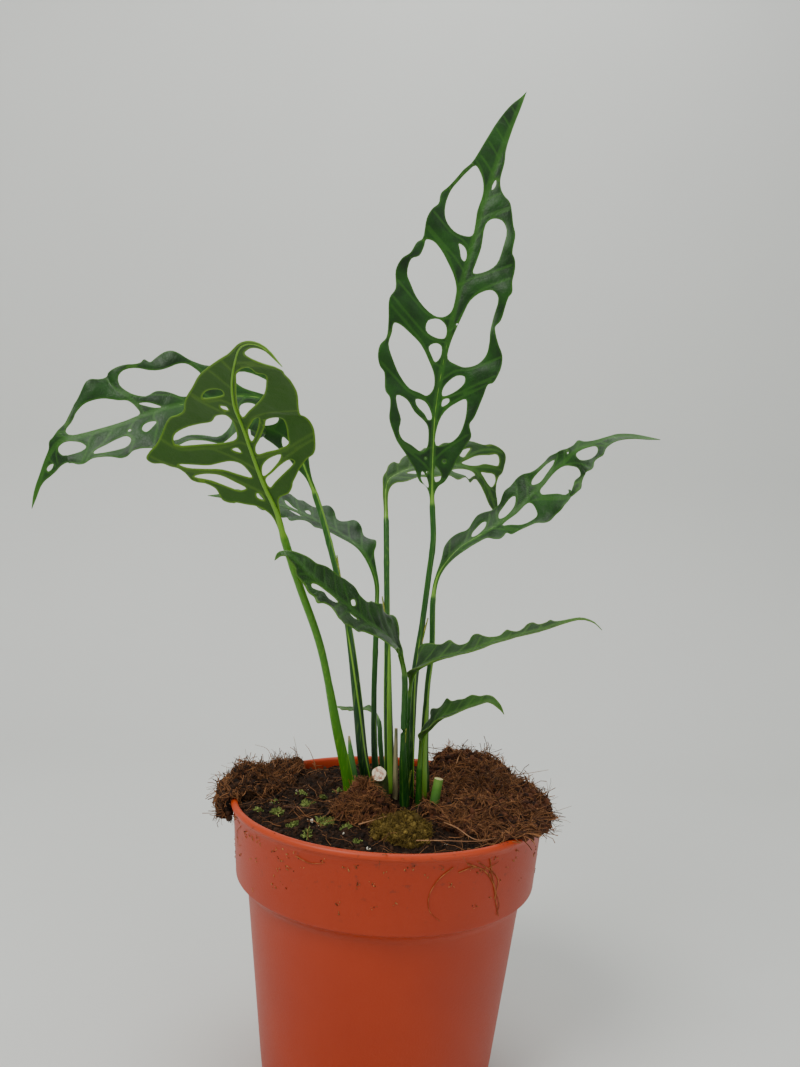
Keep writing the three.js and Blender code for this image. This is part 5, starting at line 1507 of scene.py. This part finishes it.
def tissue_group():
    """Net of fine veins, soft mottling and a bumped normal of leaf tissue."""
    group = bpy.data.node_groups.new("Leaf tissue", "ShaderNodeTree")
    ports = group.interface
    socket = ports.new_socket("Relief", in_out="INPUT", socket_type="NodeSocketFloat")
    socket.default_value = 0.0002
    for label in ("Net", "Soft", "Dots"):
        ports.new_socket(label, in_out="OUTPUT", socket_type="NodeSocketFloat")
    ports.new_socket("Normal", in_out="OUTPUT", socket_type="NodeSocketVector")
    given = add(group, "NodeGroupInput").outputs
    pattern = add(group, "ShaderNodeUVMap", uv_map="pattern").outputs[0]
    place = add(group, "ShaderNodeTexCoord").outputs["Object"]
    wobble = add(group, "ShaderNodeTexNoise", {"Vector": pattern, "Scale": 0.5, "Detail": 2.0})
    moved = add(group, "ShaderNodeVectorMath", {0: wobble.outputs["Color"], "Scale": 0.8}, operation="SCALE")
    moved = add(group, "ShaderNodeVectorMath", {0: moved.outputs[0], 1: pattern})
    inputs = {"Vector": moved.outputs[0], "Scale": 0.62}
    cells = add(group, "ShaderNodeTexVoronoi", inputs, feature="DISTANCE_TO_EDGE")
    net = ramp(group, cells.outputs["Distance"], 0.11, 0.0)
    soft = add(group, "ShaderNodeTexNoise", {"Vector": place, "Scale": 110.0, "Detail": 3.0}).outputs[0]
    dots = add(group, "ShaderNodeTexVoronoi", {"Vector": pattern, "Scale": 0.45}).outputs["Distance"]
    dots = ramp(group, dots, 0.11, 0.05)
    fine = add(group, "ShaderNodeTexNoise", {"Vector": place, "Scale": 1400.0, "Detail": 2.0}).outputs[0]
    height = calc(group, "MULTIPLY_ADD", net, -0.12, calc(group, "MULTIPLY", fine, 0.25))
    bump = add(group, "ShaderNodeBump", {"Height": height, "Distance": given["Relief"]})
    results = {"Net": net, "Soft": soft, "Dots": dots, "Normal": bump.outputs[0]}
    add(group, "NodeGroupOutput", results)
    return group


TISSUE = tissue_group()


def tissue(tree, relief):
    """Leaf tissue group in a material."""
    return add(tree, "ShaderNodeGroup", {"Relief": relief}, node_tree=TISSUE).outputs


def attribute(tree, name):
    """Value of a mesh attribute."""
    return add(tree, "ShaderNodeAttribute", attribute_name=name).outputs["Fac"]


def blade_skin(name, dark, light, vein, rim, under, roughness=0.42, relief=0.00025, dots=0.0, sheen=0.3):
    """Upper side from dark to light with veins and rim, and a paler underside."""
    material, tree, surface = new_material(name)
    parts = tissue(tree, relief)
    near, edge, low = (attribute(tree, key) for key in ("vein", "edge", "under"))
    pattern = add(tree, "ShaderNodeUVMap", uv_map="pattern").outputs[0]
    across = add(tree, "ShaderNodeSeparateXYZ", {0: pattern}).outputs[1]
    off_rib = calc(tree, "ABSOLUTE", across)
    colour = mixed(tree, ramp(tree, parts["Soft"], 0.3, 0.7), dark, light)
    colour = mixed(tree, calc(tree, "MULTIPLY", parts["Net"], 0.06), colour, vein)
    colour = mixed(tree, calc(tree, "MULTIPLY", ramp(tree, near, 0.75, 0.1), 0.5), colour, vein)
    colour = mixed(tree, calc(tree, "MULTIPLY", ramp(tree, off_rib, 1.6, 0.5), 0.6), colour, vein)
    colour = mixed(tree, calc(tree, "MULTIPLY", ramp(tree, edge, 0.7, 0.1), 0.5), colour, rim)
    colour = mixed(tree, calc(tree, "MULTIPLY", parts["Dots"], dots), colour, rim)
    shade = mixed(tree, calc(tree, "MULTIPLY", ramp(tree, near, 0.9, 0.1), 0.45), under, vein)
    shade = mixed(tree, calc(tree, "MULTIPLY", parts["Soft"], 0.45), shade, dark)
    shade = mixed(tree, calc(tree, "MULTIPLY", ramp(tree, edge, 0.8, 0.1), 0.5), shade, rim)
    colour = mixed(tree, low, colour, shade)
    rough_value = calc(tree, "MULTIPLY_ADD", low, 0.12, roughness)
    feed(tree, surface, {
        "Base Color": colour,
        "Roughness": calc(tree, "MULTIPLY_ADD", parts["Soft"], 0.1, rough_value),
        "Normal": parts["Normal"],
        "Specular IOR Level": sheen,
        "Subsurface Weight": 0.12,
        "Subsurface Radius": (0.0006, 0.0012, 0.0003),
    })
    return material


def stalk_skin(name, low_green, green, pale, stripe_side, stripe):
    """Petiole: darker at its foot, lighter near the blade, with a pale edge to the sheath."""
    material, tree, surface = new_material(name)
    pattern = add(tree, "ShaderNodeUVMap", uv_map="pattern").outputs[0]
    parts = add(tree, "ShaderNodeSeparateXYZ", {0: pattern}).outputs
    along, turn = parts[0], parts[1]
    share, opened = attribute(tree, "under"), attribute(tree, "edge")
    place = add(tree, "ShaderNodeTexCoord").outputs["Object"]
    long = add(tree, "ShaderNodeVectorMath", {0: place, 1: (1, 1, 0.07)}, operation="MULTIPLY").outputs[0]
    streaks = add(tree, "ShaderNodeTexNoise", {"Vector": long, "Scale": 1500.0, "Detail": 3.0}).outputs[0]
    colour = mixed(tree, ramp(tree, share, 0.15, 0.95), low_green, green)
    colour = mixed(tree, calc(tree, "MULTIPLY", ramp(tree, streaks, 0.5, 0.72), 0.3), colour, pale)
    lip = calc(tree, "SUBTRACT", calc(tree, "ABSOLUTE", turn), LIP_TURN)
    lip = ramp(tree, calc(tree, "ABSOLUTE", lip), 0.3, 0.08)
    lip = calc(tree, "MULTIPLY", lip, ramp(tree, opened, 0.0, 0.12))
    colour = mixed(tree, lip, colour, pale)
    beside = calc(tree, "ABSOLUTE", calc(tree, "SUBTRACT", turn, stripe_side))
    band = calc(tree, "MULTIPLY", ramp(tree, beside, 0.55, 0.3), stripe)
    band = calc(tree, "MULTIPLY", band, ramp(tree, share, 0.02, 0.12))
    colour = mixed(tree, band, colour, pale)
    colour = mixed(tree, calc(tree, "MULTIPLY", ramp(tree, along, 0.0, 2.0), 0.75), colour, pale)
    bump = add(tree, "ShaderNodeBump", {"Height": streaks, "Distance": 0.00012})
    feed(tree, surface, {
        "Base Color": colour,
        "Roughness": calc(tree, "MULTIPLY_ADD", streaks, 0.25, 0.25),
        "Normal": bump.outputs[0],
        "Specular IOR Level": 0.35,
        "Subsurface Weight": 0.1,
        "Subsurface Radius": (0.0008, 0.0015, 0.0004),
    })
    return material


DARK_BLADE = blade_skin(
    "Dark blade", srgb(10, 42, 3), srgb(25, 72, 6), srgb(50, 100, 20), srgb(66, 116, 20), srgb(44, 80, 18)
)
GLOSSY_BLADE = blade_skin(
    "Glossy blade", srgb(14, 42, 4), srgb(30, 70, 10), srgb(52, 98, 26), srgb(90, 136, 28),
    srgb(52, 90, 24), 0.34, 0.0005, 0.35, 0.3,
)
DULL_BLADE = blade_skin(
    "Dull blade", srgb(18, 50, 8), srgb(38, 78, 14), srgb(64, 104, 32), srgb(98, 134, 34),
    srgb(50, 82, 22), 0.52,
)
YOUNG_BLADE = blade_skin(
    "Young blade", srgb(32, 70, 6), srgb(52, 92, 12), srgb(92, 130, 30), srgb(120, 164, 28),
    srgb(50, 88, 16), 0.42,
)
DARK_STALK = stalk_skin("Dark petiole", srgb(10, 52, 14), srgb(36, 88, 20), srgb(86, 132, 40), 1.6, 0.0)
LIPPED_STALK = stalk_skin("Lipped petiole", srgb(10, 50, 14), srgb(34, 84, 20), srgb(116, 162, 50), 1.3, 0.8)
YOUNG_STALK = stalk_skin("Young petiole", srgb(56, 114, 12), srgb(74, 132, 16), srgb(122, 170, 40), 1.6, 0.0)

# Each row: blade and petiole skin, how far below the blade the petiole swells, the spacing and
# first place of the side veins, and how far the blade rises between them, in millimetres.
LOOKS = {
    "leaf_tall": (DARK_BLADE, LIPPED_STALK, 17, (11, 7), 0.35),
    "leaf_far_left": (DARK_BLADE, LIPPED_STALK, 20, (11, 7), 0.35),
    "leaf_near_left": (YOUNG_BLADE, YOUNG_STALK, 12, (11, 6), 0.3),
    "leaf_back_left": (DARK_BLADE, DARK_STALK, 18, (8, 5), 0.4),
    "leaf_front": (GLOSSY_BLADE, DARK_STALK, 16, (8, 5), 0.6),
    "leaf_back": (DULL_BLADE, LIPPED_STALK, 18, (9, 5), 0.4),
    "leaf_right": (DARK_BLADE, LIPPED_STALK, 20, (9, 5), 0.4),
    "leaf_right_mid": (DULL_BLADE, DARK_STALK, 14, (8, 4), 0.4),
    "leaf_right_low": (DULL_BLADE, DARK_STALK, 10, (7, 4), 0.35),
    "leaf_back_small": (DULL_BLADE, DARK_STALK, 8, (6, 4), 0.2),
}
for name, leaf in LEAVES.items():
    *skins, leaf["joint"], leaf["vein"], leaf["bulge"] = LOOKS[name]
    piece = leaf_mesh(name + "_grown", leaf, skins)
    stands_for(piece, "young_leaf" if name == "leaf_near_left" else "leaf", name)


# The sheaths of five petioles end in short pale points that stand a little off the stalk. Each
# row gives the height of the point and how far it leans to the right.
SHEATH_TIPS = {
    "leaf_far_left": (197, 1.0),
    "leaf_back": (181, -1.0),
    "leaf_tall": (175, 1.0),
    "leaf_front": (135, 0.5),
    "leaf_right_mid": (117, 1.0),
}


def strand(points, faces, path, radius, sides=6):
    """Tapering thread along a path, added to lists of points and faces."""
    line = spline(path, 8)
    tangent = unit(np.gradient(line, axis=0))
    side = unit(np.cross(tangent, np.tile([0.13, 0.31, 0.94], (len(line), 1))))
    other = np.cross(tangent, side)
    first = len(points)
    turns = 2 * np.pi * np.arange(sides) / sides
    for i in range(len(line)):
        r = radius * (1 - 0.6 * i / (len(line) - 1))
        ring = line[i] + r * (np.outer(np.cos(turns), side[i]) + np.outer(np.sin(turns), other[i]))
        points += ring.tolist()
    faces += ring_faces(first, len(line), sides, True)
    last = first + (len(line) - 1) * sides
    faces.append([first + k for k in range(sides)])
    faces.append([last + k for k in range(sides)][::-1])


tip_points, tip_faces = [], []
for name, (height, side) in SHEATH_TIPS.items():
    shape = Shape(LEAVES[name])
    stalk = shape.line[shape.along <= 0]
    path = []
    for drop, out in ((13, 0.4), (6, 1.1), (0, 1.9)):
        spot = [np.interp(height - drop, stalk[:, 2], stalk[:, axis]) for axis in range(3)]
        path.append((spot[0] + side * out, spot[1] - 0.4 * out, spot[2]))
    strand(tip_points, tip_faces, path, 0.65)
tip_skin = mottled("Sheath tip", srgb(92, 124, 36), srgb(164, 160, 82))
stands_for(mesh_piece("sheath_tips", tip_points, tip_faces, [tip_skin], 60), "leaf")


# Stems without a blade: a thick rhizome whose pale cut faces the front, a cut green petiole at the
# right, a pointed green sheath at the left and a thin dry stem in the middle.
def stem_skin(name, foot, top, tip, foot_z, tip_z, cap):
    """Colour by height from foot to tip, and a pale ringed face on cut ends."""
    foot, top, tip, cap = (srgb(*colour) for colour in (foot, top, tip, cap))
    material, tree, surface = new_material(name)
    bits = grain(tree, 300, 1800, 0.0002)
    place = add(tree, "ShaderNodeTexCoord").outputs["Object"]
    height = add(tree, "ShaderNodeSeparateXYZ", {0: place}).outputs[2]
    colour = mixed(tree, ramp(tree, height, foot_z * MM, tip_z * MM), foot, top)
    colour = mixed(tree, ramp(tree, height, (tip_z - 3) * MM, tip_z * MM), colour, tip)
    colour = mixed(tree, calc(tree, "MULTIPLY", bits["Broad"], 0.4), colour, foot)
    cut = attribute(tree, "cut")
    rings = add(tree, "ShaderNodeTexNoise", {"Vector": place, "Scale": 900.0, "Detail": 4.0}).outputs[0]
    face = mixed(tree, ramp(tree, rings, 0.45, 0.62), cap, srgb(176, 128, 104))
    ring = calc(tree, "ABSOLUTE", calc(tree, "SUBTRACT", attribute(tree, "radial"), 0.55))
    face = mixed(tree, calc(tree, "MULTIPLY", ramp(tree, ring, 0.16, 0.04), 0.5), face, srgb(168, 116, 92))
    colour = mixed(tree, cut, colour, face)
    feed(tree, surface, {"Base Color": colour, "Roughness": 0.6, "Normal": bits["Normal"]})
    return material


def stem_piece(name, path, radii, skin, slot, node, ribbed):
    """Stem along a path with a cut end."""
    sides = 24
    rings = 4
    line = spline(path, 10)
    steps = np.linalg.norm(np.diff(line, axis=0), axis=1)
    share = np.concatenate([[0], np.cumsum(steps)]) / steps.sum()
    tangent = unit(np.gradient(line, axis=0))
    across = unit(np.cross(np.tile([0.0, 1.0, 0.0], (len(line), 1)), tangent))
    normal = np.cross(tangent, across)
    radius = np.interp(share, np.linspace(0, 1, len(radii)), radii)
    points, cut, radial = [], [], []
    turns = 2 * np.pi * np.arange(sides) / sides
    flute = 1 + ribbed * np.sin(turns * 5)
    for i in range(len(line)):
        ring = np.outer(np.cos(turns) * flute, normal[i]) + np.outer(np.sin(turns) * flute, across[i])
        points += (line[i] + radius[i] * ring).tolist()
        cut += [0.0] * sides
        radial += [1.0] * sides
    for k in range(rings):
        shrink = (rings - k) / rings * 0.96
        ring = np.outer(np.cos(turns) * flute, normal[-1]) + np.outer(np.sin(turns) * flute, across[-1])
        lift = tangent[-1] * 0.12 * (1 - shrink)
        points += (line[-1] + lift + radius[-1] * shrink * ring).tolist()
        cut += [1.0] * sides
        radial += [shrink] * sides
    rows = len(line) + rings
    faces = ring_faces(0, rows, sides)
    faces.append([k for k in range(sides)][::-1])
    faces.append([(rows - 1) * sides + k for k in range(sides)])
    area = sum(a[0] * b[1] - a[1] * b[0] for a, b in zip(points[:sides], points[1:sides] + points[:1]))
    if area < 0:
        faces = [tuple(face)[::-1] for face in faces]
    piece = mesh_piece(name, points, faces, [skin], 35)
    for key, values in (("cut", cut), ("radial", radial)):
        layer = piece.data.attributes.new(key, "FLOAT", "POINT")
        layer.data.foreach_set("value", np.array(values, np.float32))
    stands_for(piece, slot, node)


# Each row: name, path, radii, what its skin is made of, slot, node and how ribbed it is.
STEMS = [
    (
        "rhizome_stem",
        [(-2.8, -3, 94), (-2.8, -3.2, 104), (-3.2, -4.2, 110), (-3.7, -6.6, 114.6), (-4.1, -10.6, 116.4)],
        [3, 3, 3, 2.9, 2.9, 2.8, 2.7],
        ("Rhizome", (58, 62, 34), (84, 104, 48), (120, 118, 84), 100, 118, (228, 214, 186)),
        "cut_stem", "rhizome", 0.03,
    ),
    (
        "petiole_stub_cut",
        [(17.4, -8, 94), (17.4, -8, 105), (18.6, -8, 115)],
        [1.8, 1.8, 1.8, 1.7],
        ("Cut petiole", (44, 92, 30), (92, 146, 44), (112, 158, 60), 103, 114, (190, 196, 120)),
        "young_leaf", "petiole_stub", 0.0,
    ),
    (
        "sheath_spear_grown",
        [(-12.7, -3.3, 94), (-12.8, -3.3, 106), (-14.8, -3.7, 118), (-16.4, -4, 128.4)],
        [1.6, 1.6, 1.6, 1.5, 1.1, 0.4],
        ("Sheath spear", (46, 104, 40), (84, 140, 58), (176, 158, 118), 104, 128, (170, 150, 110)),
        "stem", "sheath_spear", 0.05,
    ),
    (
        "dried_stem_grown",
        [(2.6, -2, 94), (2.5, -2, 104), (2, -2.3, 118), (1.5, -2.5, 132)],
        [1, 1, 1, 0.9, 0.8, 0.6],
        ("Dry stem", (150, 138, 100), (142, 140, 100), (96, 110, 66), 100, 130, (150, 140, 110)),
        "dried_stem", "dried_stem", 0.06,
    ),
]
for name, path, radii, skin, slot, node, ribbed in STEMS:
    stem_piece(name, path, radii, stem_skin(*skin), slot, node, ribbed)


# Loose things: pale grains and green moss flecks in the soil, single long fibres that stand out
# from the rim, and roots and specks of mix that cling to the pot's band.
def patch_surface(name, spots):
    """Small discs lying on the soil, as places for things to grow."""
    points, faces = [], []
    for x, y, radius in spots:
        first = len(points)
        points.append((x, y, soil_surface(x, y) + 0.3))
        for k in range(8):
            px = x + radius * math.cos(k * math.pi / 4)
            py = y + radius * math.sin(k * math.pi / 4)
            points.append((px, py, soil_surface(px, py) + 0.15))
        faces += [(first, first + 1 + k, first + 1 + (k + 1) % 8) for k in range(8)]
    return mesh_piece(name, points, faces, [])


MOSS_SPOTS = [
    (-30, -12, 2.6), (-34, 2, 2.0), (-22, -28, 3.4), (-40, -22, 2.4), (-14, -33, 1.8), (-27, -42, 1.6),
    (-43, -8, 1.5), (-20, 8, 1.7), (-33, -33, 2.0), (-10, -46, 1.4), (-47, -20, 1.6), (-25, -2, 1.5),
]
PERLITE_SPOTS = [
    (-36, 8, 1.4), (-33, 9, 1.1), (-44, -9, 0.9), (-27, -30, 1.2), (-24, -33, 0.9), (-20, 3, 0.9),
    (20, -44, 0.8), (34, -37, 0.7), (26, -30, 0.8), (-15, -40, 0.7), (-6, -51, 0.8), (42, -28, 0.8),
]
moss_patch = patch_surface("moss_patch", MOSS_SPOTS)
moss_flecks = grow("moss_flecks", moss_patch, FIBRES, {
    "Density": 6000000.0,
    "Shortest": 0.001,
    "Longest": 0.0026,
    "Thickness": 0.00024,
    "Curl": 0.002,
    "Curl scale": 500.0,
    "Tilt": 1.3,
    "Seed": 5,
    "Material": GREEN_MOSS_SKIN,
})
stands_for(moss_flecks, "moss")
bpy.data.objects.remove(moss_patch)
perlite_patch = patch_surface("perlite_patch", PERLITE_SPOTS)
perlite = grow("perlite_grains", perlite_patch, CRUMBS, {
    "Density": 900000.0,
    "Smallest": 0.0003,
    "Largest": 0.0011,
    "Seed": 9,
    "Material": PERLITE_SKIN,
})
stands_for(perlite, "soil")
bpy.data.objects.remove(perlite_patch)


STRANDS = [
    ([(-52, -2, 104), (-60, -3, 104.5), (-69, -5, 101.5)], 0.55),
    ([(13, 8, 104), (14.5, 6, 112), (14, 3, 121), (12.5, 2, 128)], 0.12),
    ([(-40, 42, 103), (-41, 44, 108), (-43, 45, 115)], 0.14),
    ([(-33, 46, 103), (-36, 47, 109), (-38, 48, 111)], 0.2),
    ([(50, 30, 107), (58, 28, 109), (66, 24, 112)], 0.18),
    ([(54, -4, 106), (62, -8, 105), (69, -10, 108)], 0.14),
    ([(-16, -12, 106), (-18, -18, 108.5), (-22, -26, 105)], 0.25),
    ([(-10, -34, 105), (-3, -31, 106.5), (4, -27, 107.5)], 0.3),
    ([(20, -30, 106), (24, -38, 107), (30, -44, 105.5), (38, -40, 105)], 0.25),
    ([(10, -45, 104.5), (18, -48, 106), (27, -46, 105.5), (34, -42, 104.5)], 0.22),
    ([(16, -10, 106), (12, -16, 108), (11, -24, 106), (16, -30, 105)], 0.2),
    ([(-46, 10, 111), (-50, 14, 117), (-55, 14, 118.5)], 0.14),
    ([(-60, 4, 106), (-67, 2, 109), (-70, -1, 108)], 0.14),
    ([(28, 30, 111), (31, 38, 114.5), (36, 44, 112)], 0.2),
    ([(40, 20, 110), (47, 26, 111.5), (52, 32, 108)], 0.2),
    ([(-38, -18, 104.5), (-31, -22, 106), (-25, -20, 105)], 0.2),
]
thread_points, thread_faces = [], []
for path, radius in STRANDS:
    strand(thread_points, thread_faces, path, radius)
thread_skin = mottled(
    "Loose thread", srgb(74, 42, 26), srgb(164, 118, 78), (60, 1500, 0.0001), 0.65, 0.65, 0.5
)
threads = mesh_piece("loose_threads", thread_points, thread_faces, [thread_skin], 60)
stands_for(threads, "coir")


def on_band(turn, z, out=0.25):
    """Point on the outside of the band, at a turn in degrees from the front."""
    radius = BAND_RADIUS + BAND_FLARE * (z - BAND_LOW) / BAND_HEIGHT + out
    angle = math.radians(turn - 90)
    return (radius * math.cos(angle), radius * math.sin(angle), z)


ROOTS = [
    ([on_band(22, 100), on_band(17, 96), on_band(14.5, 91), on_band(15, 86), on_band(19, 82)], 0.15),
    ([on_band(27, 100.5), on_band(34, 97), on_band(39, 91), on_band(41, 85), on_band(43.5, 79)], 0.26),
    ([on_band(31, 100.5), on_band(37, 96), on_band(40, 89), on_band(43, 83), on_band(42, 80)], 0.18),
    ([on_band(36, 100.5), on_band(37, 97), on_band(41, 92), on_band(40, 86)], 0.2),
    ([on_band(24, 98), on_band(29, 99), on_band(35, 97.5), on_band(40, 99)], 0.16),
    ([on_band(-62, 100), on_band(-67, 96), on_band(-66, 91)], 0.14),
    ([on_band(-30, 99.5), on_band(-25, 98.4), on_band(-20, 99.2)], 0.16),
]
root_points, root_faces = [], []
for path, radius in ROOTS:
    strand(root_points, root_faces, path, radius)
root_skin = mottled("Dry root", srgb(132, 66, 34), srgb(178, 112, 66))
roots = mesh_piece("band_roots", root_points, root_faces, [root_skin], 60)
stands_for(roots, "coir")


def speck_patches(count, seed):
    """Little quads on the band where specks of mix cling, most of them near the lip."""
    random.seed(seed)
    points, faces = [], []
    for _ in range(count):
        turn = random.uniform(-180, 180)
        z = 100.5 - 20 * random.random() ** 2.4
        size = random.uniform(0.5, 1.6)
        first = len(points)
        for a, b in ((-1, -1), (1, -1), (1, 1), (-1, 1)):
            points.append(on_band(turn + a * size * 0.9, z + b * size * 0.6, 0.1))
        faces.append((first, first + 1, first + 2, first + 3))
    return mesh_piece("speck_patches", points, faces, [])


def speck_tree():
    """Grains clinging to any face of a surface."""
    inputs = {
        "Density": ("NodeSocketFloat", 100000.0),
        "Size": ("NodeSocketFloat", 0.0004),
        "Seed": ("NodeSocketInt", 1),
        "Material": ("NodeSocketMaterial", None),
    }
    tree, given = node_tree("Specks", inputs)
    values = {"Mesh": given["Surface"], "Density": given["Density"], "Seed": given["Seed"]}
    spots = add(tree, "GeometryNodeDistributePointsOnFaces", values)
    speck = add(tree, "GeometryNodeMeshIcoSphere", {"Radius": 1.0, "Subdivisions": 1})
    shape = chance(tree, (0.4, 0.3, 0.3), (1.6, 0.9, 0.7), 31, "FLOAT_VECTOR")
    scale = add(tree, "ShaderNodeVectorMath", {0: shape, "Scale": given["Size"]}, operation="SCALE")
    inputs = {
        "Points": spots.outputs[0],
        "Instance": speck.outputs[0],
        "Rotation": chance(tree, (0, 0, 0), (6.28, 6.28, 6.28), 32, "FLOAT_VECTOR"),
        "Scale": scale.outputs[0],
    }
    things = add(tree, "GeometryNodeInstanceOnPoints", inputs).outputs[0]
    ends_in(tree, tinted(tree, things), given["Material"])
    return tree


speck_places = speck_patches(150, 12)
DUST_SKIN = shaded("Clinging dust", srgb(62, 28, 12), srgb(190, 134, 82), 0.85)
specks = grow("band_specks", speck_places, speck_tree(), {
    "Density": 1300000.0,
    "Size": 0.0003,
    "Seed": 4,
    "Material": DUST_SKIN,
})
stands_for(specks, "soil")
bpy.data.objects.remove(speck_places)


# Studio: a plain pale floor that curves up behind the plant, soft light from the upper left and
# the front, and a camera where the photo was taken.
def make_stage():
    bend, curve = 420.0, 300.0
    profile = [(-900.0, 0.0), (bend, 0.0)]
    for a in np.linspace(0, math.pi / 2, 17)[1:]:
        profile.append((bend + curve * math.sin(a), curve - curve * math.cos(a)))
    profile.append((bend + curve, 1900.0))
    points = [(side * 2200, y, z) for y, z in profile for side in (-1, 1)]
    faces = [(2 * i, 2 * i + 1, 2 * i + 3, 2 * i + 2) for i in range(len(profile) - 1)]
    material, tree, surface = new_material("Pale floor")
    soft = grain(tree, 3, 90, 0.0004)
    colour = mixed(tree, soft["Broad"], srgb(206, 208, 204), srgb(214, 216, 212))
    feed(tree, surface, {"Base Color": colour, "Roughness": 0.8})
    floor = mesh_piece("pale_floor", points, faces, [material])


def make_light(name, place, aim, size, power, tint):
    data = bpy.data.lights.new(name, "AREA")
    data.shape = "DISK"
    data.size = size
    data.energy = power
    data.color = tint
    light = new_object(name, data)
    light.location = place
    light.rotation_euler = (Vector(aim) - Vector(place)).to_track_quat("-Z", "Y").to_euler()


make_stage()
make_light("key_light", (-0.75, -0.8, 1.25), (0.0, 0.0, 0.16), 0.8, 19.0, (1.0, 0.985, 0.96))
make_light("fill_light", (0.9, -0.9, 0.6), (0.0, 0.0, 0.15), 1.0, 4.0, (0.96, 0.98, 1.0))
make_light("top_light", (0.1, 0.25, 1.3), (0.0, 0.0, 0.15), 0.8, 6.0, (1.0, 1.0, 1.0))
world = bpy.data.worlds.new("Room")
world.use_nodes = True
world.node_tree.nodes["Background"].inputs[0].default_value = (0.85, 0.86, 0.85, 1)
world.node_tree.nodes["Background"].inputs[1].default_value = 0.47
bpy.context.scene.world = world

CAMERA_PLACE = (-0.001, -0.33, 0.207)
CAMERA_ROLL_DEG = -3.06
FOCAL_SHARE = 850 / 1067
lens = bpy.data.cameras.new("photo_view")
lens.sensor_width = 36
lens.lens = 36 * FOCAL_SHARE
lens.clip_start = 0.01
lens.dof.use_dof = False
camera = new_object("photo_view", lens)
camera.location = CAMERA_PLACE
camera.rotation_euler = (math.radians(90), math.radians(CAMERA_ROLL_DEG), 0)
bpy.context.scene.camera = camera
